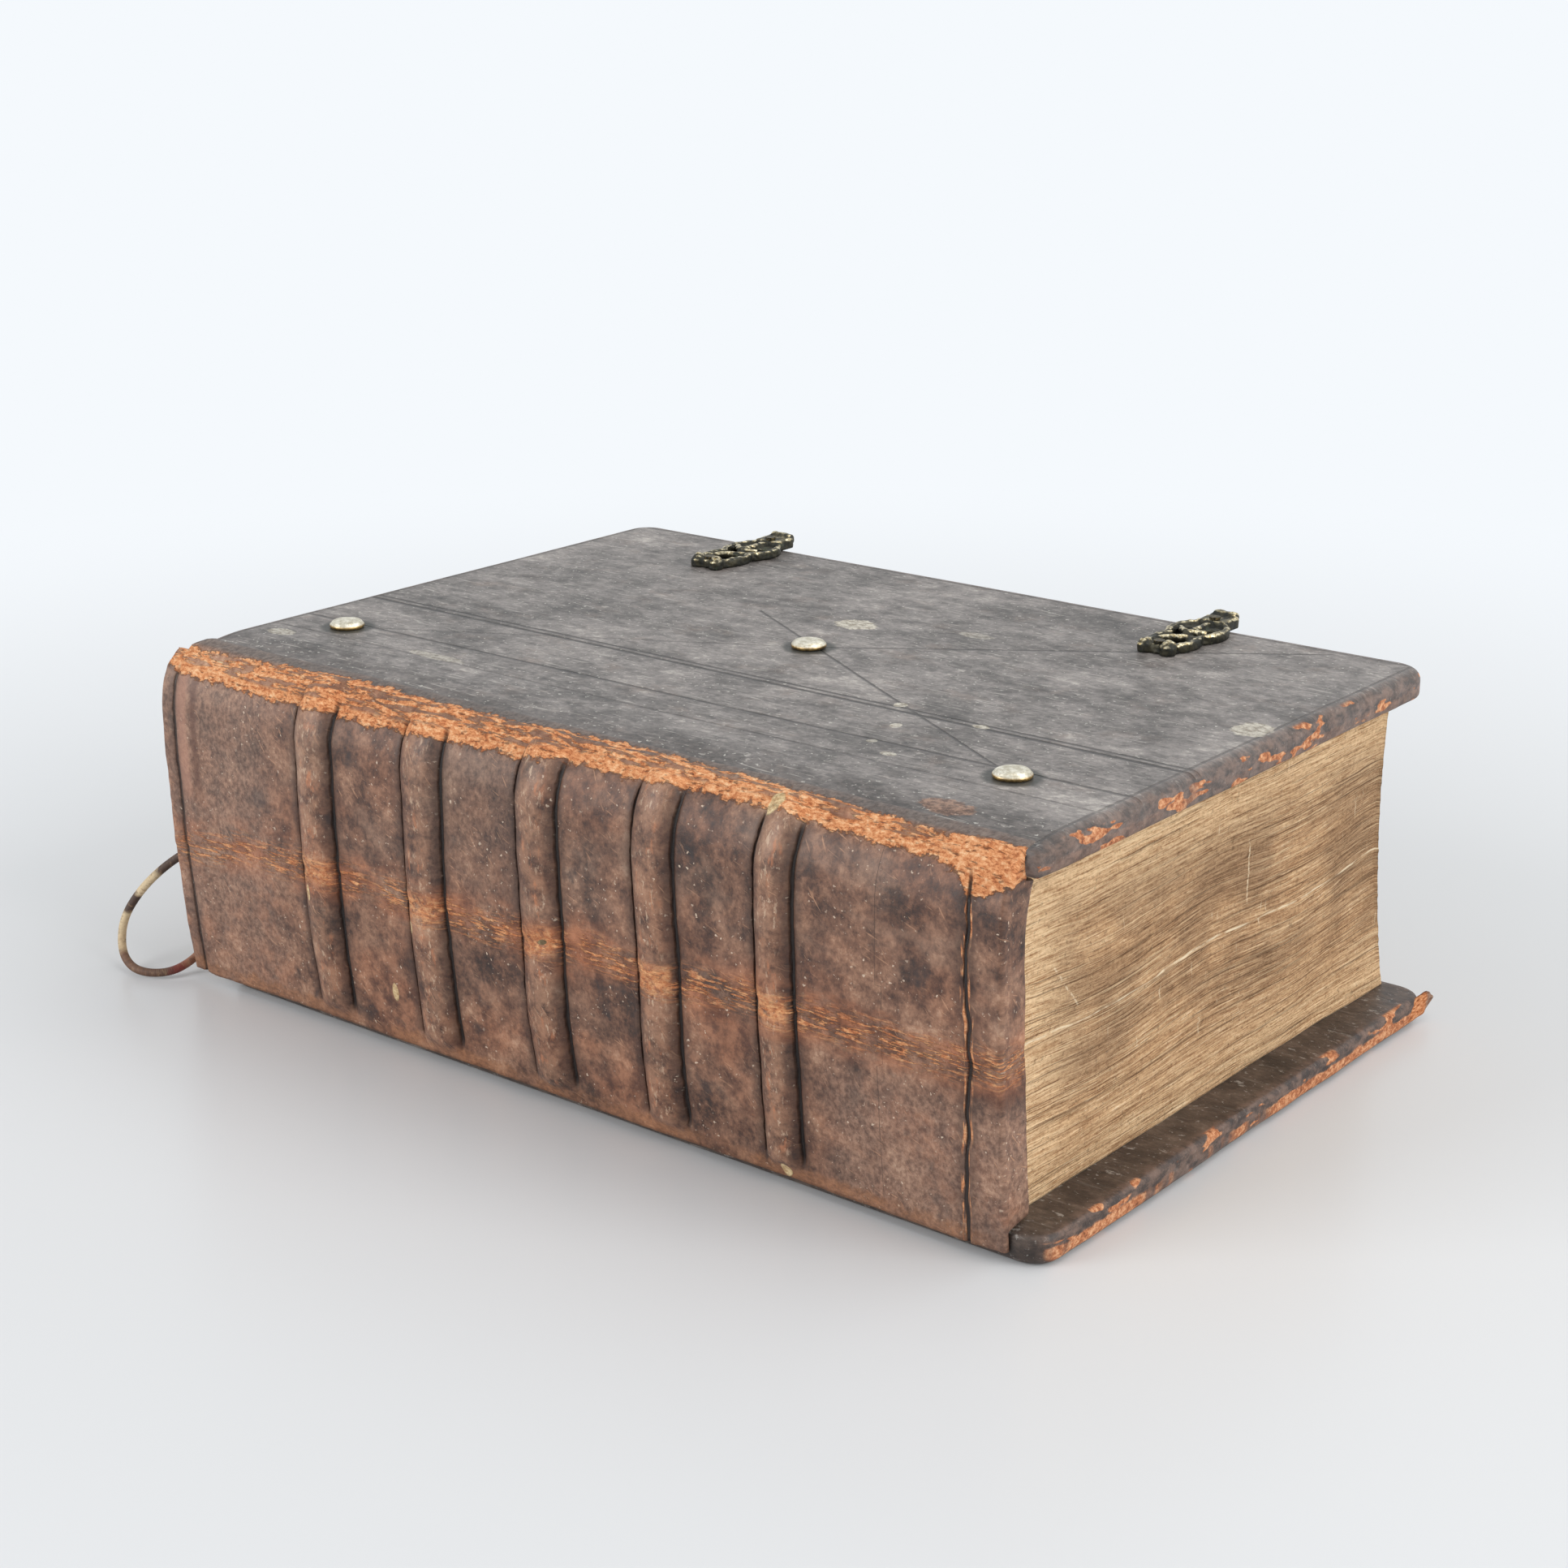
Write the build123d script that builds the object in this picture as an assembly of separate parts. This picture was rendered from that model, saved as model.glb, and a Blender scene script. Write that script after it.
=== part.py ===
"""Antique bible in wooden boards: a laced-on leather binding on five raised bands.

X runs along the spine from head to tail, Y from the spine to the fore-edge, Z up.
The book lies on its lower cover. The origin is on the table under its middle.
"""
import os
from math import asin, cos, radians, sin, sqrt, tan

from build123d import *

os.makedirs("parts", exist_ok=True)

# Covers: wooden boards in leather
board_length = 300.0
upper_depth = 202.0
lower_depth = 205.0
board_wood = 6.6
cover_skin = 1.0
lower_slip = 6.0
fore_corner_radius = 9.0
back_corner_radius = 8.0
outer_edge_radius = 3.4
inner_edge_radius = 1.6
turn_in_width = 20.0
paste_paper = 0.6
paste_back_margin = 4.0
roll_run = 16.0
roll_mid_share = 0.36

# Text block
page_length = 287.0
page_slip = -1.5
page_stack = 90.8
fore_edge_foot_inset = 2.1
fore_edge_top_inset = 8.6
fore_edge_hollow = 4.4

# Spine: the line of the back is a long arc below the swell and a shoulder arc above it
head_cap_reach = 11.0
tail_cap_reach = 4.0
spine_skin = 1.2
back_swell = 9.2
back_lean = 5.0
swell_below_top = 20.0
shoulder_run = 8.9
roll_drop = 1.7
lower_tip_height = 3.2
joint_gap = 0.4
cap_reach = 3.0
cap_edge_radius = 1.4
cap_clearance = 0.5
head_lip_folds = 2

# Raised bands on sewing cords
band_place_shares = (-0.280, -0.138, 0.010, 0.142, 0.271)
band_radius = 7.0
band_height = 2.8
band_foot_gap = 2.4
band_top_gap = 3.4
tailband_radius = 1.5

# Cord ends laced into the boards, and the pegs that wedge them
lacing_length = 24.0
lacing_width = 7.0
lacing_depth = 2.6
peg_radius = 2.0

# Brass bosses and clasp catches
boss_place_shares = ((-0.416, 0.188), (-0.006, 0.527), (0.383, 0.200))
boss_radius = 5.2
boss_rim = 1.0
boss_dome = 1.4
boss_shank_radius = 1.1
shank_depth = 5.0
catch_place_shares = (-0.299, 0.271)
catch_length = 44.0
catch_width = 18.0
catch_height = 2.8
catch_overhang = 4.0
catch_rim = 2.0
catch_pocket = 0.9
catch_neck_width = 9.5
catch_neck_length = 9.0
catch_neck_rise = 0.7
catch_edge_radius = 0.6
catch_bead_radius = 1.9
catch_bead_length = 8.0
catch_knob_radius = 2.4
nail_radius = 0.8
nail_head_radius = 1.7
nail_head = 0.8

# Shares of the catch's half width and body length that place its lobes, holes and knobs
front_lobe_share = 0.36
back_lobe_share = 0.70
lobe_reach_share = 0.27
back_width_share = 0.84
knob_spread_share = 0.42
nail_share = 0.905
piercing_shares = ((0.0, 0.72, 0.42, 0.115), (-0.42, 0.42, 0.27, 0.125), (0.42, 0.42, 0.27, 0.125))

# Loose headband
headband_diameter = 2.8
run_fill_share = 0.45

# Tools of the model
overrun = 4.0

# Heights of the layers, from the table up
cover_thickness = board_wood + 2 * cover_skin
page_bottom = cover_thickness
page_top = page_bottom + page_stack
book_top = page_top + cover_thickness

# The arcs of the back meet upright at the swell
swell_height = book_top - swell_below_top
shoulder_rise = swell_below_top - roll_drop
shoulder_radius = (shoulder_run**2 + shoulder_rise**2) / (2 * shoulder_run)
back_drop = swell_height - page_bottom
back_radius = (back_lean**2 + back_drop**2) / (2 * back_lean)

# Places along Y, from the foot of the spine, which is set so that the book is centred
spine_foot = -(upper_depth + catch_overhang - back_swell - band_height) / 2
swell_place = spine_foot - back_swell
back_centre = swell_place + back_radius
shoulder_centre = swell_place + shoulder_radius


def back_y(height, grow):
    """Y of the line of the back at a height, moved outwards by grow."""
    rise = height - swell_height
    centre = shoulder_centre if rise > 0 else back_centre
    radius = shoulder_radius if rise > 0 else back_radius
    return centre - sqrt((radius + grow) ** 2 - rise**2)


def shoulder_height(place, grow):
    """Height of the shoulder arc at a place along Y, moved outwards by grow."""
    return swell_height + sqrt((shoulder_radius + grow) ** 2 - (shoulder_centre - place) ** 2)


def back_arcs(low, high, grow):
    """The two tangent arcs of the back from one height to another."""

    def point(height):
        return (back_y(height, grow), height)

    long_arc = ThreePointArc(point(low), point((low + swell_height) / 2), point(swell_height))
    shoulder = ThreePointArc(point(swell_height), point((swell_height + high) / 2), point(high))
    return [long_arc, shoulder]


def prism(lines, start, end):
    """A closed outline in Y and Z, run along X."""
    return Pos(start, 0, 0) * extrude(Plane.YZ * make_face(lines), amount=end - start)


def block(low, high):
    """A plain block between two corners."""
    size = [top - bottom for bottom, top in zip(low, high)]
    middle = [(top + bottom) / 2 for bottom, top in zip(low, high)]
    return Pos(*middle) * Box(*size)


def back_tube(place, radius, depth, low, high):
    """A round-ended cord along the back, its centre line at a depth under the leather."""
    path = Plane.YZ * Wire(back_arcs(low, high, -depth))
    start, end = path @ 0, path @ 1
    tube = sweep(Plane(start, z_dir=path % 0) * Circle(radius), path=path)
    tube = tube + Pos(*start) * Sphere(radius) + Pos(*end) * Sphere(radius)
    return Pos(place, 0, 0) * tube


# Ends along X
upper_head = -board_length / 2
upper_tail = board_length / 2
lower_head = upper_head + lower_slip
lower_tail = upper_tail + lower_slip
page_head = page_slip - page_length / 2
page_tail = page_slip + page_length / 2
spine_head = page_head - head_cap_reach
spine_tail = page_tail + tail_cap_reach
spine_middle = (spine_head + spine_tail) / 2
band_places = [spine_middle + share * (spine_tail - spine_head) for share in band_place_shares]

# Joint lines: the spine leather ends a hair short of each cover
upper_tip = swell_place + shoulder_run
upper_tip_height = book_top - roll_drop
upper_back = upper_tip + joint_gap
upper_fore = upper_back + upper_depth
lower_tip_outer = back_y(lower_tip_height, 0)
lower_tip_inner = back_y(lower_tip_height, -spine_skin)
lower_back = lower_tip_inner + joint_gap
lower_fore = lower_back + lower_depth

# Text block: shoulders swell over the back of the upper board, the fore-edge is hollow
fore_foot = (lower_fore - fore_edge_foot_inset, page_bottom)
fore_top = (upper_fore - fore_edge_top_inset, page_top)
fore_middle = ((fore_foot[0] + fore_top[0]) / 2 - fore_edge_hollow, (page_bottom + page_top) / 2)
shoulder_top = shoulder_height(upper_tip, -spine_skin)
page_outline = back_arcs(page_bottom, shoulder_top, -spine_skin) + [
    Line((upper_tip, shoulder_top), (upper_tip, page_top)),
    Line((upper_tip, page_top), fore_top),
    ThreePointArc(fore_top, fore_middle, fore_foot),
    Line(fore_foot, (back_y(page_bottom, -spine_skin), page_bottom)),
]
text_block = prism(page_outline, page_head, page_tail)

# Room of the two covers beside the spine
room_fore = lower_fore + overrun
upper_room = block((2 * spine_head, upper_tip, page_top), (2 * spine_tail, room_fore, 2 * book_top))
lower_room = block((2 * spine_head, lower_tip_inner, -overrun), (2 * spine_tail, room_fore, page_bottom))

# Sewing cords on the back of the text block, under the raised bands
band_depth = band_radius - band_height
band_low = lower_tip_height + band_radius + band_foot_gap
band_high = upper_tip_height - band_radius - band_top_gap
cord_radius = band_radius - spine_skin
sewing_cords = []
for place in band_places:
    cord = back_tube(place, cord_radius, band_depth, band_low, band_high)
    sewing_cords.append(cord - text_block - upper_room - lower_room)

# Tailband: a thread-wound rod sewn along the tail of the text block, under the cap
tailband_depth = spine_skin + 2 * tailband_radius
tailband_low = page_bottom + cap_clearance + 2 * tailband_radius
tailband_high = swell_height + 2 * tailband_radius
tailband = back_tube(page_tail + tailband_radius, tailband_radius, tailband_depth, tailband_low, tailband_high)

# Spine leather: one skin over the cords, drawn over the tail as a cap and left hollow at the head
cap_low = page_bottom + cap_clearance
cap_high = page_top - cap_clearance
cap_inner = spine_foot + cap_reach
spine_outline = back_arcs(lower_tip_height, upper_tip_height, 0) + [
    Line((upper_tip, upper_tip_height), (upper_tip, cap_high)),
    Line((upper_tip, cap_high), (cap_inner, cap_high)),
    Line((cap_inner, cap_high), (cap_inner, cap_low)),
    Line((cap_inner, cap_low), (lower_tip_inner, cap_low)),
    Line((lower_tip_inner, cap_low), (lower_tip_inner, lower_tip_height)),
    Line((lower_tip_inner, lower_tip_height), (lower_tip_outer, lower_tip_height)),
]
spine_blank = prism(spine_outline, spine_head, spine_tail)
end_faces = spine_blank.faces().sort_by(Axis.X)
cap_edges = [
    edge
    for face in (end_faces[0], end_faces[-1])
    for edge in face.edges().filter_by(GeomType.CIRCLE)
]
spine_leather = fillet(cap_edges, cap_edge_radius)
for place in band_places:
    spine_leather += back_tube(place, band_radius, band_depth, band_low, band_high)
lip = head_lip_folds * spine_skin
hollow_low = cap_low + lip
hollow_high = cap_high - lip
hollow_outline = back_arcs(hollow_low, hollow_high, -lip) + [
    Line((back_y(hollow_high, -lip), hollow_high), (cap_inner + overrun, hollow_high)),
    Line((cap_inner + overrun, hollow_high), (cap_inner + overrun, hollow_low)),
    Line((cap_inner + overrun, hollow_low), (back_y(hollow_low, -lip), hollow_low)),
]
spine_leather -= prism(hollow_outline, spine_head - overrun, page_head)
spine_leather = spine_leather - text_block - upper_room - lower_room - tailband
for place in band_places:
    spine_leather -= back_tube(place, cord_radius, band_depth, band_low, band_high)


def cover_slab(head, tail, back, fore, bottom, top, shrink, upper):
    """A board or its leather: rounded corners, a well rounded outer face and an eased inner face."""
    slab = block((head + shrink, back + shrink, bottom + shrink), (tail - shrink, fore - shrink, top - shrink))
    posts = slab.edges().filter_by(Axis.Z).group_by(Axis.Y)
    slab = fillet(posts[-1], fore_corner_radius - shrink)
    if not upper:
        posts = slab.edges().filter_by(Axis.Z).group_by(Axis.Y)
        slab = fillet(posts[0], back_corner_radius - shrink)
    outer_edges = slab.faces().sort_by(Axis.Z)[-1 if upper else 0].edges()
    if upper:
        outer_edges = outer_edges.sort_by(Axis.Y)[1:]
    slab = fillet(outer_edges, outer_edge_radius - shrink)
    inner_edges = slab.faces().sort_by(Axis.Z)[0 if upper else -1].edges()
    if upper:
        inner_edges = inner_edges.sort_by(Axis.Y)[1:]
    return fillet(inner_edges, inner_edge_radius - shrink)


def back_roll(shrink):
    """What is planed off the upper board so that it rolls down into the joint."""
    face_height = book_top - shrink
    low = (upper_back, face_height - roll_drop)
    middle = (upper_back + roll_run / 2, face_height - roll_mid_share * roll_drop)
    high = (upper_back + roll_run, face_height)
    outline = [
        ThreePointArc(low, middle, high),
        Line(high, (high[0], face_height + overrun)),
        Line((high[0], face_height + overrun), (upper_back - overrun, face_height + overrun)),
        Line((upper_back - overrun, face_height + overrun), (upper_back - overrun, low[1])),
        Line((upper_back - overrun, low[1]), low),
    ]
    return prism(outline, upper_head - overrun, upper_tail + overrun)


def paste_window(head, tail, back, fore, bottom, top):
    """The field inside the turn-ins where the paper is pasted to the wood."""
    low = (head + turn_in_width, back + paste_back_margin, bottom)
    high = (tail - turn_in_width, fore - turn_in_width, top)
    return block(low, high)


def lacing_runs(wood, back, face_height, downwards):
    """The five cord ends in their channels, and the pegs through the board at their far ends."""
    sink = lacing_depth if downwards else -lacing_depth
    length = lacing_length + overrun
    ends, pegs = [], []
    for place in band_places:
        middle = back - overrun + length / 2
        slot = SlotOverall(length, lacing_width, rotation=90)
        run = Pos(place, middle, face_height) * extrude(slot, amount=-sink) & wood
        peg_y = back + lacing_length - lacing_width / 2
        peg = Pos(place, peg_y, face_height - sink) * Cylinder(peg_radius, 2 * book_top)
        ends.append(run - peg)
        pegs.append(peg & wood)
    return ends, pegs


# Upper cover
upper_place = (upper_head, upper_tail, upper_back, upper_fore, page_top, book_top)
upper_board = cover_slab(*upper_place, cover_skin, True) - back_roll(cover_skin)
upper_leather = cover_slab(*upper_place, 0, True) - back_roll(0) - upper_board
upper_window = paste_window(*upper_place[:4], page_top - overrun, page_top + cover_skin)
upper_leather -= upper_window
upper_pastedown = paste_window(*upper_place[:4], page_top + cover_skin - paste_paper, page_top + cover_skin)
wood_back = upper_back + cover_skin
upper_lacing, upper_pegs = lacing_runs(upper_board, wood_back, book_top - cover_skin, True)
for inner in upper_lacing + upper_pegs:
    upper_board -= inner

# Lower cover
lower_place = (lower_head, lower_tail, lower_back, lower_fore, 0, cover_thickness)
lower_board = cover_slab(*lower_place, cover_skin, False)
lower_leather = cover_slab(*lower_place, 0, False) - lower_board
lower_window = paste_window(*lower_place[:4], cover_thickness - cover_skin, cover_thickness + overrun)
lower_leather -= lower_window
paper_low = cover_thickness - cover_skin
lower_pastedown = paste_window(*lower_place[:4], paper_low, paper_low + paste_paper)
lower_lacing, lower_pegs = lacing_runs(lower_board, lower_back + cover_skin, cover_skin, False)
for inner in lower_lacing + lower_pegs:
    lower_board -= inner


def make_boss():
    """A domed nail: a low cap on a thin rim, with its shank below."""
    crown = boss_rim + boss_dome
    dome_radius = (boss_radius**2 + boss_dome**2) / (2 * boss_dome)
    half_turn = asin(boss_radius / dome_radius) / 2
    flank = (dome_radius * sin(half_turn), crown - dome_radius * (1 - cos(half_turn)))
    profile = [
        Line((0, crown), (0, -shank_depth)),
        Line((0, -shank_depth), (boss_shank_radius, -shank_depth)),
        Line((boss_shank_radius, -shank_depth), (boss_shank_radius, 0)),
        Line((boss_shank_radius, 0), (boss_radius, 0)),
        Line((boss_radius, 0), (boss_radius, boss_rim)),
        ThreePointArc((boss_radius, boss_rim), flank, (0, crown)),
    ]
    return revolve(Plane.XZ * make_face(profile), axis=Axis.Z)


# Bosses on the upper cover
bosses = []
for share_x, share_y in boss_place_shares:
    boss = Pos(share_x * board_length, upper_back + share_y * upper_depth, book_top) * make_boss()
    bosses.append(boss)
    upper_leather -= boss
    upper_board -= boss


def make_catch():
    """A pierced casting with a raised rim, two knobs and a bead that overhangs the fore-edge.

    Its origin is on the leather, in line with the fore-edge of the board.
    """
    body_length = catch_length - catch_overhang
    wide = catch_width / 2
    reach = lobe_reach_share * body_length
    bead_place = catch_overhang - catch_bead_radius
    neck = Pos(0, bead_place - catch_neck_length / 2) * Rectangle(catch_neck_width, catch_neck_length)
    lobes = []
    floor = Sketch()
    for place_share, width_share in ((front_lobe_share, 1), (back_lobe_share, back_width_share)):
        lobe_place = Pos(0, -place_share * body_length)
        lobe = extrude(Ellipse(width_share * wide, reach), amount=catch_height)
        lobes.append(lobe_place * fillet(lobe.edges().group_by(Axis.Z)[-1], catch_edge_radius))
        floor += lobe_place * Ellipse(width_share * wide - catch_rim, reach - catch_rim)
    piercing = Sketch()
    for share_x, share_y, share_wide, share_long in piercing_shares:
        hole = Ellipse(share_wide * wide, share_long * body_length)
        piercing += Pos(share_x * wide, -share_y * body_length) * hole
    front_lobe, back_lobe = lobes
    plate = front_lobe + back_lobe
    knob = extrude(Circle(catch_knob_radius), amount=catch_height)
    knob = fillet(knob.edges().group_by(Axis.Z)[-1], catch_edge_radius)
    for side in (-1, 1):
        plate += Pos(side * knob_spread_share * wide, catch_knob_radius - body_length, 0) * knob
    neck_block = extrude(neck, amount=catch_height + catch_neck_rise)
    plate += fillet(neck_block.faces().sort_by(Axis.Z)[-1].edges(), catch_edge_radius)
    plate -= Pos(0, 0, catch_height - catch_pocket) * extrude(floor - neck, amount=overrun)
    plate -= Pos(0, 0, -overrun) * extrude(piercing, amount=catch_height + 2 * overrun)
    bead = Rotation(0, 90, 0) * Cylinder(catch_bead_radius, catch_bead_length)
    bead = fillet(bead.edges(), catch_edge_radius)
    return plate + Pos(0, bead_place, catch_height) * bead


# Catches and their nails
catches = []
catch_nails = []
for share in catch_place_shares:
    catch = Pos(share * board_length, upper_fore, book_top) * make_catch()
    body_length = catch_length - catch_overhang
    back_nail = (-nail_share * body_length, catch_height)
    neck_nail = (-catch_neck_length / 2, catch_height + catch_neck_rise)
    for nail_y, seat in (back_nail, neck_nail):
        shank = Pos(0, 0, -shank_depth) * extrude(Circle(nail_radius), amount=seat + shank_depth)
        head = Pos(0, 0, seat) * extrude(Circle(nail_head_radius), amount=nail_head)
        nail = Pos(share * board_length, upper_fore + nail_y, book_top) * (shank + head)
        catch -= nail
        upper_leather -= nail
        upper_board -= nail
        catch_nails.append(nail)
    catches.append(catch)

# Loose headband: the route of its core from the head of the pages, round the loop and back
headband_route = [
    (-145.0, -95.2, 43.5),
    (-151.5, -95.2, 43.5),
    (-159.0, -98.0, 39.5),
    (-167.5, -101.0, 33.0),
    (-176.0, -103.5, 24.5),
    (-182.5, -105.8, 14.5),
    (-180.8, -108.8, 5.6),
    (-173.5, -111.5, 2.3),
    (-165.5, -111.5, 2.0),
    (-160.2, -106.5, 2.1),
    (-159.4, -99.5, 3.4),
    (-158.4, -94.0, 7.0),
    (-154.5, -90.8, 11.6),
    (-150.0, -90.0, 13.4),
    (-145.0, -90.0, 13.4),
]


def route_radii(points):
    """The largest tangent arc that the two runs at each corner of a route allow."""
    radii = []
    for before, corner, after in zip(points, points[1:], points[2:]):
        run_in = Vector(*corner) - Vector(*before)
        run_out = Vector(*after) - Vector(*corner)
        shorter = min(run_in.length, run_out.length)
        radii.append(run_fill_share * shorter / tan(radians(run_in.get_angle(run_out)) / 2))
    return radii


headband_radii = route_radii(headband_route)
headband_path = FilletPolyline(*headband_route, radius=headband_radii)
headband_end = Plane(headband_path @ 0, z_dir=headband_path % 0)
loose_headband = sweep(headband_end * Circle(headband_diameter / 2), path=headband_path)
print("headband radii", [round(radius, 1) for radius in headband_radii])
print("headband length", round(headband_path.length, 1))

nodes = {
    "text_block": text_block,
    "spine_leather": spine_leather,
    "tailband": tailband,
    "loose_headband": loose_headband,
    "upper_board": upper_board,
    "upper_cover_leather": upper_leather,
    "upper_pastedown": upper_pastedown,
    "upper_lacing": Compound(children=upper_lacing),
    "upper_pegs": Compound(children=upper_pegs),
    "lower_board": lower_board,
    "lower_cover_leather": lower_leather,
    "lower_pastedown": lower_pastedown,
    "lower_lacing": Compound(children=lower_lacing),
    "lower_pegs": Compound(children=lower_pegs),
    "catch_nails": Compound(children=catch_nails),
}
for number, cord in enumerate(sewing_cords, start=1):
    nodes[f"sewing_cord_{number}"] = cord
for name, boss in zip(("head_boss", "centre_boss", "tail_boss"), bosses):
    nodes[name] = boss
for name, catch in zip(("head_catch", "tail_catch"), catches):
    nodes[name] = catch
for name, solid in nodes.items():
    export_step(solid, f"parts/{name}.step")

print("upper joint", round(upper_tip, 3), round(upper_tip_height, 3))
print("lower joint", round(lower_tip_outer, 3), round(lower_tip_height, 3))
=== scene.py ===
"""Looks of an antique bible in wooden boards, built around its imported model.

Lengths are in millimetres until a mesh is made. X runs along the spine, Y to the fore-edge, Z up.
"""
import math

import bpy
import numpy as np
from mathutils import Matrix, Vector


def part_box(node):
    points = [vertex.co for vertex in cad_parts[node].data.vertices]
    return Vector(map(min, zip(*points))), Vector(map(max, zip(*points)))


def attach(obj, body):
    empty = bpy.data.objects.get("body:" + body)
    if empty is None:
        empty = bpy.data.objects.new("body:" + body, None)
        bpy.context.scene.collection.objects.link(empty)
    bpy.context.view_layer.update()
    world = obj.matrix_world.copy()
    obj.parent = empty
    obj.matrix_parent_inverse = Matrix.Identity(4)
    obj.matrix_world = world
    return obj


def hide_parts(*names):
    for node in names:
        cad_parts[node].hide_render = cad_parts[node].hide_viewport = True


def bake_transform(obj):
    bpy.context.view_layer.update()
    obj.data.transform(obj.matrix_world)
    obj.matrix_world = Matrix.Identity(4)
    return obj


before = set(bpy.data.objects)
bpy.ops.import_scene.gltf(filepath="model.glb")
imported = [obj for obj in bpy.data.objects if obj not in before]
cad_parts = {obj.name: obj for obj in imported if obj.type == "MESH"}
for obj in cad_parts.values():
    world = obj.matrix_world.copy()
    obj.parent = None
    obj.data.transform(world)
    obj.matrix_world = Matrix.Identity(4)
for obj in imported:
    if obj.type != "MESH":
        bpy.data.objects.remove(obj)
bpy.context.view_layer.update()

# Text block: some hundred gatherings of rag paper, sewn on cords, rounded and trimmed.
# Damp has waved the leaves, and handling has browned the three edges that show.
mm = 0.001


def box_of(node):
    """The lowest and highest corner of a node, in millimetres."""
    return [np.array(corner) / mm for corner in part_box(node)]


page_low, page_high = box_of("text_block")
upper_low, upper_high = box_of("upper_cover_leather")
lower_low, lower_high = box_of("lower_cover_leather")
spine_low, spine_high = box_of("spine_leather")
page_bottom = lower_high[2]
page_top = upper_low[2]
band_height = 2.8
swell_place = spine_low[1] + band_height
swell_drop = 20.0
swell_height = upper_high[2] - swell_drop
back_lean = 5.0
shoulder_run = 8.9
shoulder_rise = spine_high[2] - swell_height
back_radius = (back_lean**2 + (swell_height - page_bottom) ** 2) / (2 * back_lean)
shoulder_radius = (shoulder_run**2 + shoulder_rise**2) / (2 * shoulder_run)
hinge_place = swell_place + shoulder_run


class Shade:
    """A socket of a finish, on which sums are written as plain expressions."""

    def __init__(self, tree, socket=None):
        self.tree = tree
        self.socket = socket

    def node(self, kind, settings=None, sockets=None, output=0):
        """Adds a node: its type, its settings, then the values or links of its sockets."""
        made = self.tree.nodes.new("ShaderNode" + kind)
        for name, value in (settings or {}).items():
            if name == "stops":
                stops = made.color_ramp.elements
                while len(stops) < len(value):
                    stops.new(1.0)
                for stop, (place, tone) in zip(stops, value):
                    stop.position = place
                    stop.color = tone
            else:
                setattr(made, name, value)
        for name, value in (sockets or {}).items():
            if isinstance(value, Shade):
                self.tree.links.new(value.socket, made.inputs[name])
            else:
                made.inputs[name].default_value = value
        return Shade(self.tree, made.outputs[output] if made.outputs else None)

    def maths(self, operation, *values):
        """A Math node on some values."""
        return self.node("Math", {"operation": operation}, dict(enumerate(values)))

    def __add__(self, other):
        return self.maths("ADD", self, other)

    def __sub__(self, other):
        return self.maths("SUBTRACT", self, other)

    def __rsub__(self, other):
        return self.maths("SUBTRACT", other, self)

    def __mul__(self, other):
        return self.maths("MULTIPLY", self, other)

    def __truediv__(self, other):
        return self.maths("DIVIDE", self, other)

    def __abs__(self):
        return self.maths("ABSOLUTE", self)

    __radd__ = __add__
    __rmul__ = __mul__

    def most(self, other):
        return self.maths("MAXIMUM", self, other)

    def least(self, other):
        return self.maths("MINIMUM", self, other)

    def step(self, low, high):
        """Rises smoothly from 0 at low to 1 at high, or falls where low is the higher."""
        sockets = {"Value": self, "From Min": low, "From Max": high}
        return self.node("MapRange", {"interpolation_type": "SMOOTHSTEP"}, sockets)

    def mix(self, under, over):
        """The colour under, covered by the colour over as far as this mask says."""
        under, over = (tone if isinstance(tone, Shade) else colour(*tone) for tone in (under, over))
        return self.node("Mix", {"data_type": "RGBA"}, {0: self, 6: under, 7: over}, 2)

    def tones(self, low, high, dark, light):
        """A colour that goes from dark to light as this goes from low to high."""
        return self.step(low, high).mix(dark, light)

    def ramp(self, stops):
        """A colour that goes through stops, each a place and a colour."""
        return self.node("ValToRGB", {"stops": [(place, colour(*tone)) for place, tone in stops]}, {0: self})

    def lumps(self, across, along, up=0.0, detail=2.0, rough=0.55):
        """Random lumps about one unit wide."""
        spot = self.node("CombineXYZ", {}, {0: across, 1: along, 2: up})
        sockets = {"Vector": spot, "Scale": 1.0, "Detail": detail, "Roughness": rough}
        return self.node("TexNoise", {}, sockets)


def colour(red, green, blue):
    """A colour as a paint card gives it, each part from 0 to 255."""
    parts = [part / 255 for part in (red, green, blue)]
    return tuple(((part + 0.055) / 1.055) ** 2.4 for part in parts) + (1.0,)


def start_finish(name):
    """A material with no nodes yet, and the shade that they are added through."""
    finish = bpy.data.materials.new(name)
    finish.use_nodes = True
    finish.node_tree.nodes.clear()
    return finish, Shade(finish.node_tree)


def close_finish(shade, base, relief, depth, rough, gloss=0.5, metal=0.0):
    """The shader with its base colour, its relief as bump of a depth in millimetres, and the output."""
    bump = shade.node("Bump", {}, {"Height": relief, "Distance": depth * mm, "Strength": 1.0})
    sockets = {"Base Color": base, "Roughness": rough, "Specular IOR Level": gloss, "Metallic": metal}
    shader = shade.node("BsdfPrincipled", {}, {"Normal": bump, **sockets})
    shade.node("OutputMaterial", {}, {"Surface": shader})


def places(shade):
    """X, Y and Z of the piece itself, in millimetres."""
    spot = shade.node("TexCoord", {}, {}, "Object")
    return [shade.node("SeparateXYZ", {}, {0: spot}, axis) * (1 / mm) for axis in range(3)]


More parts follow.
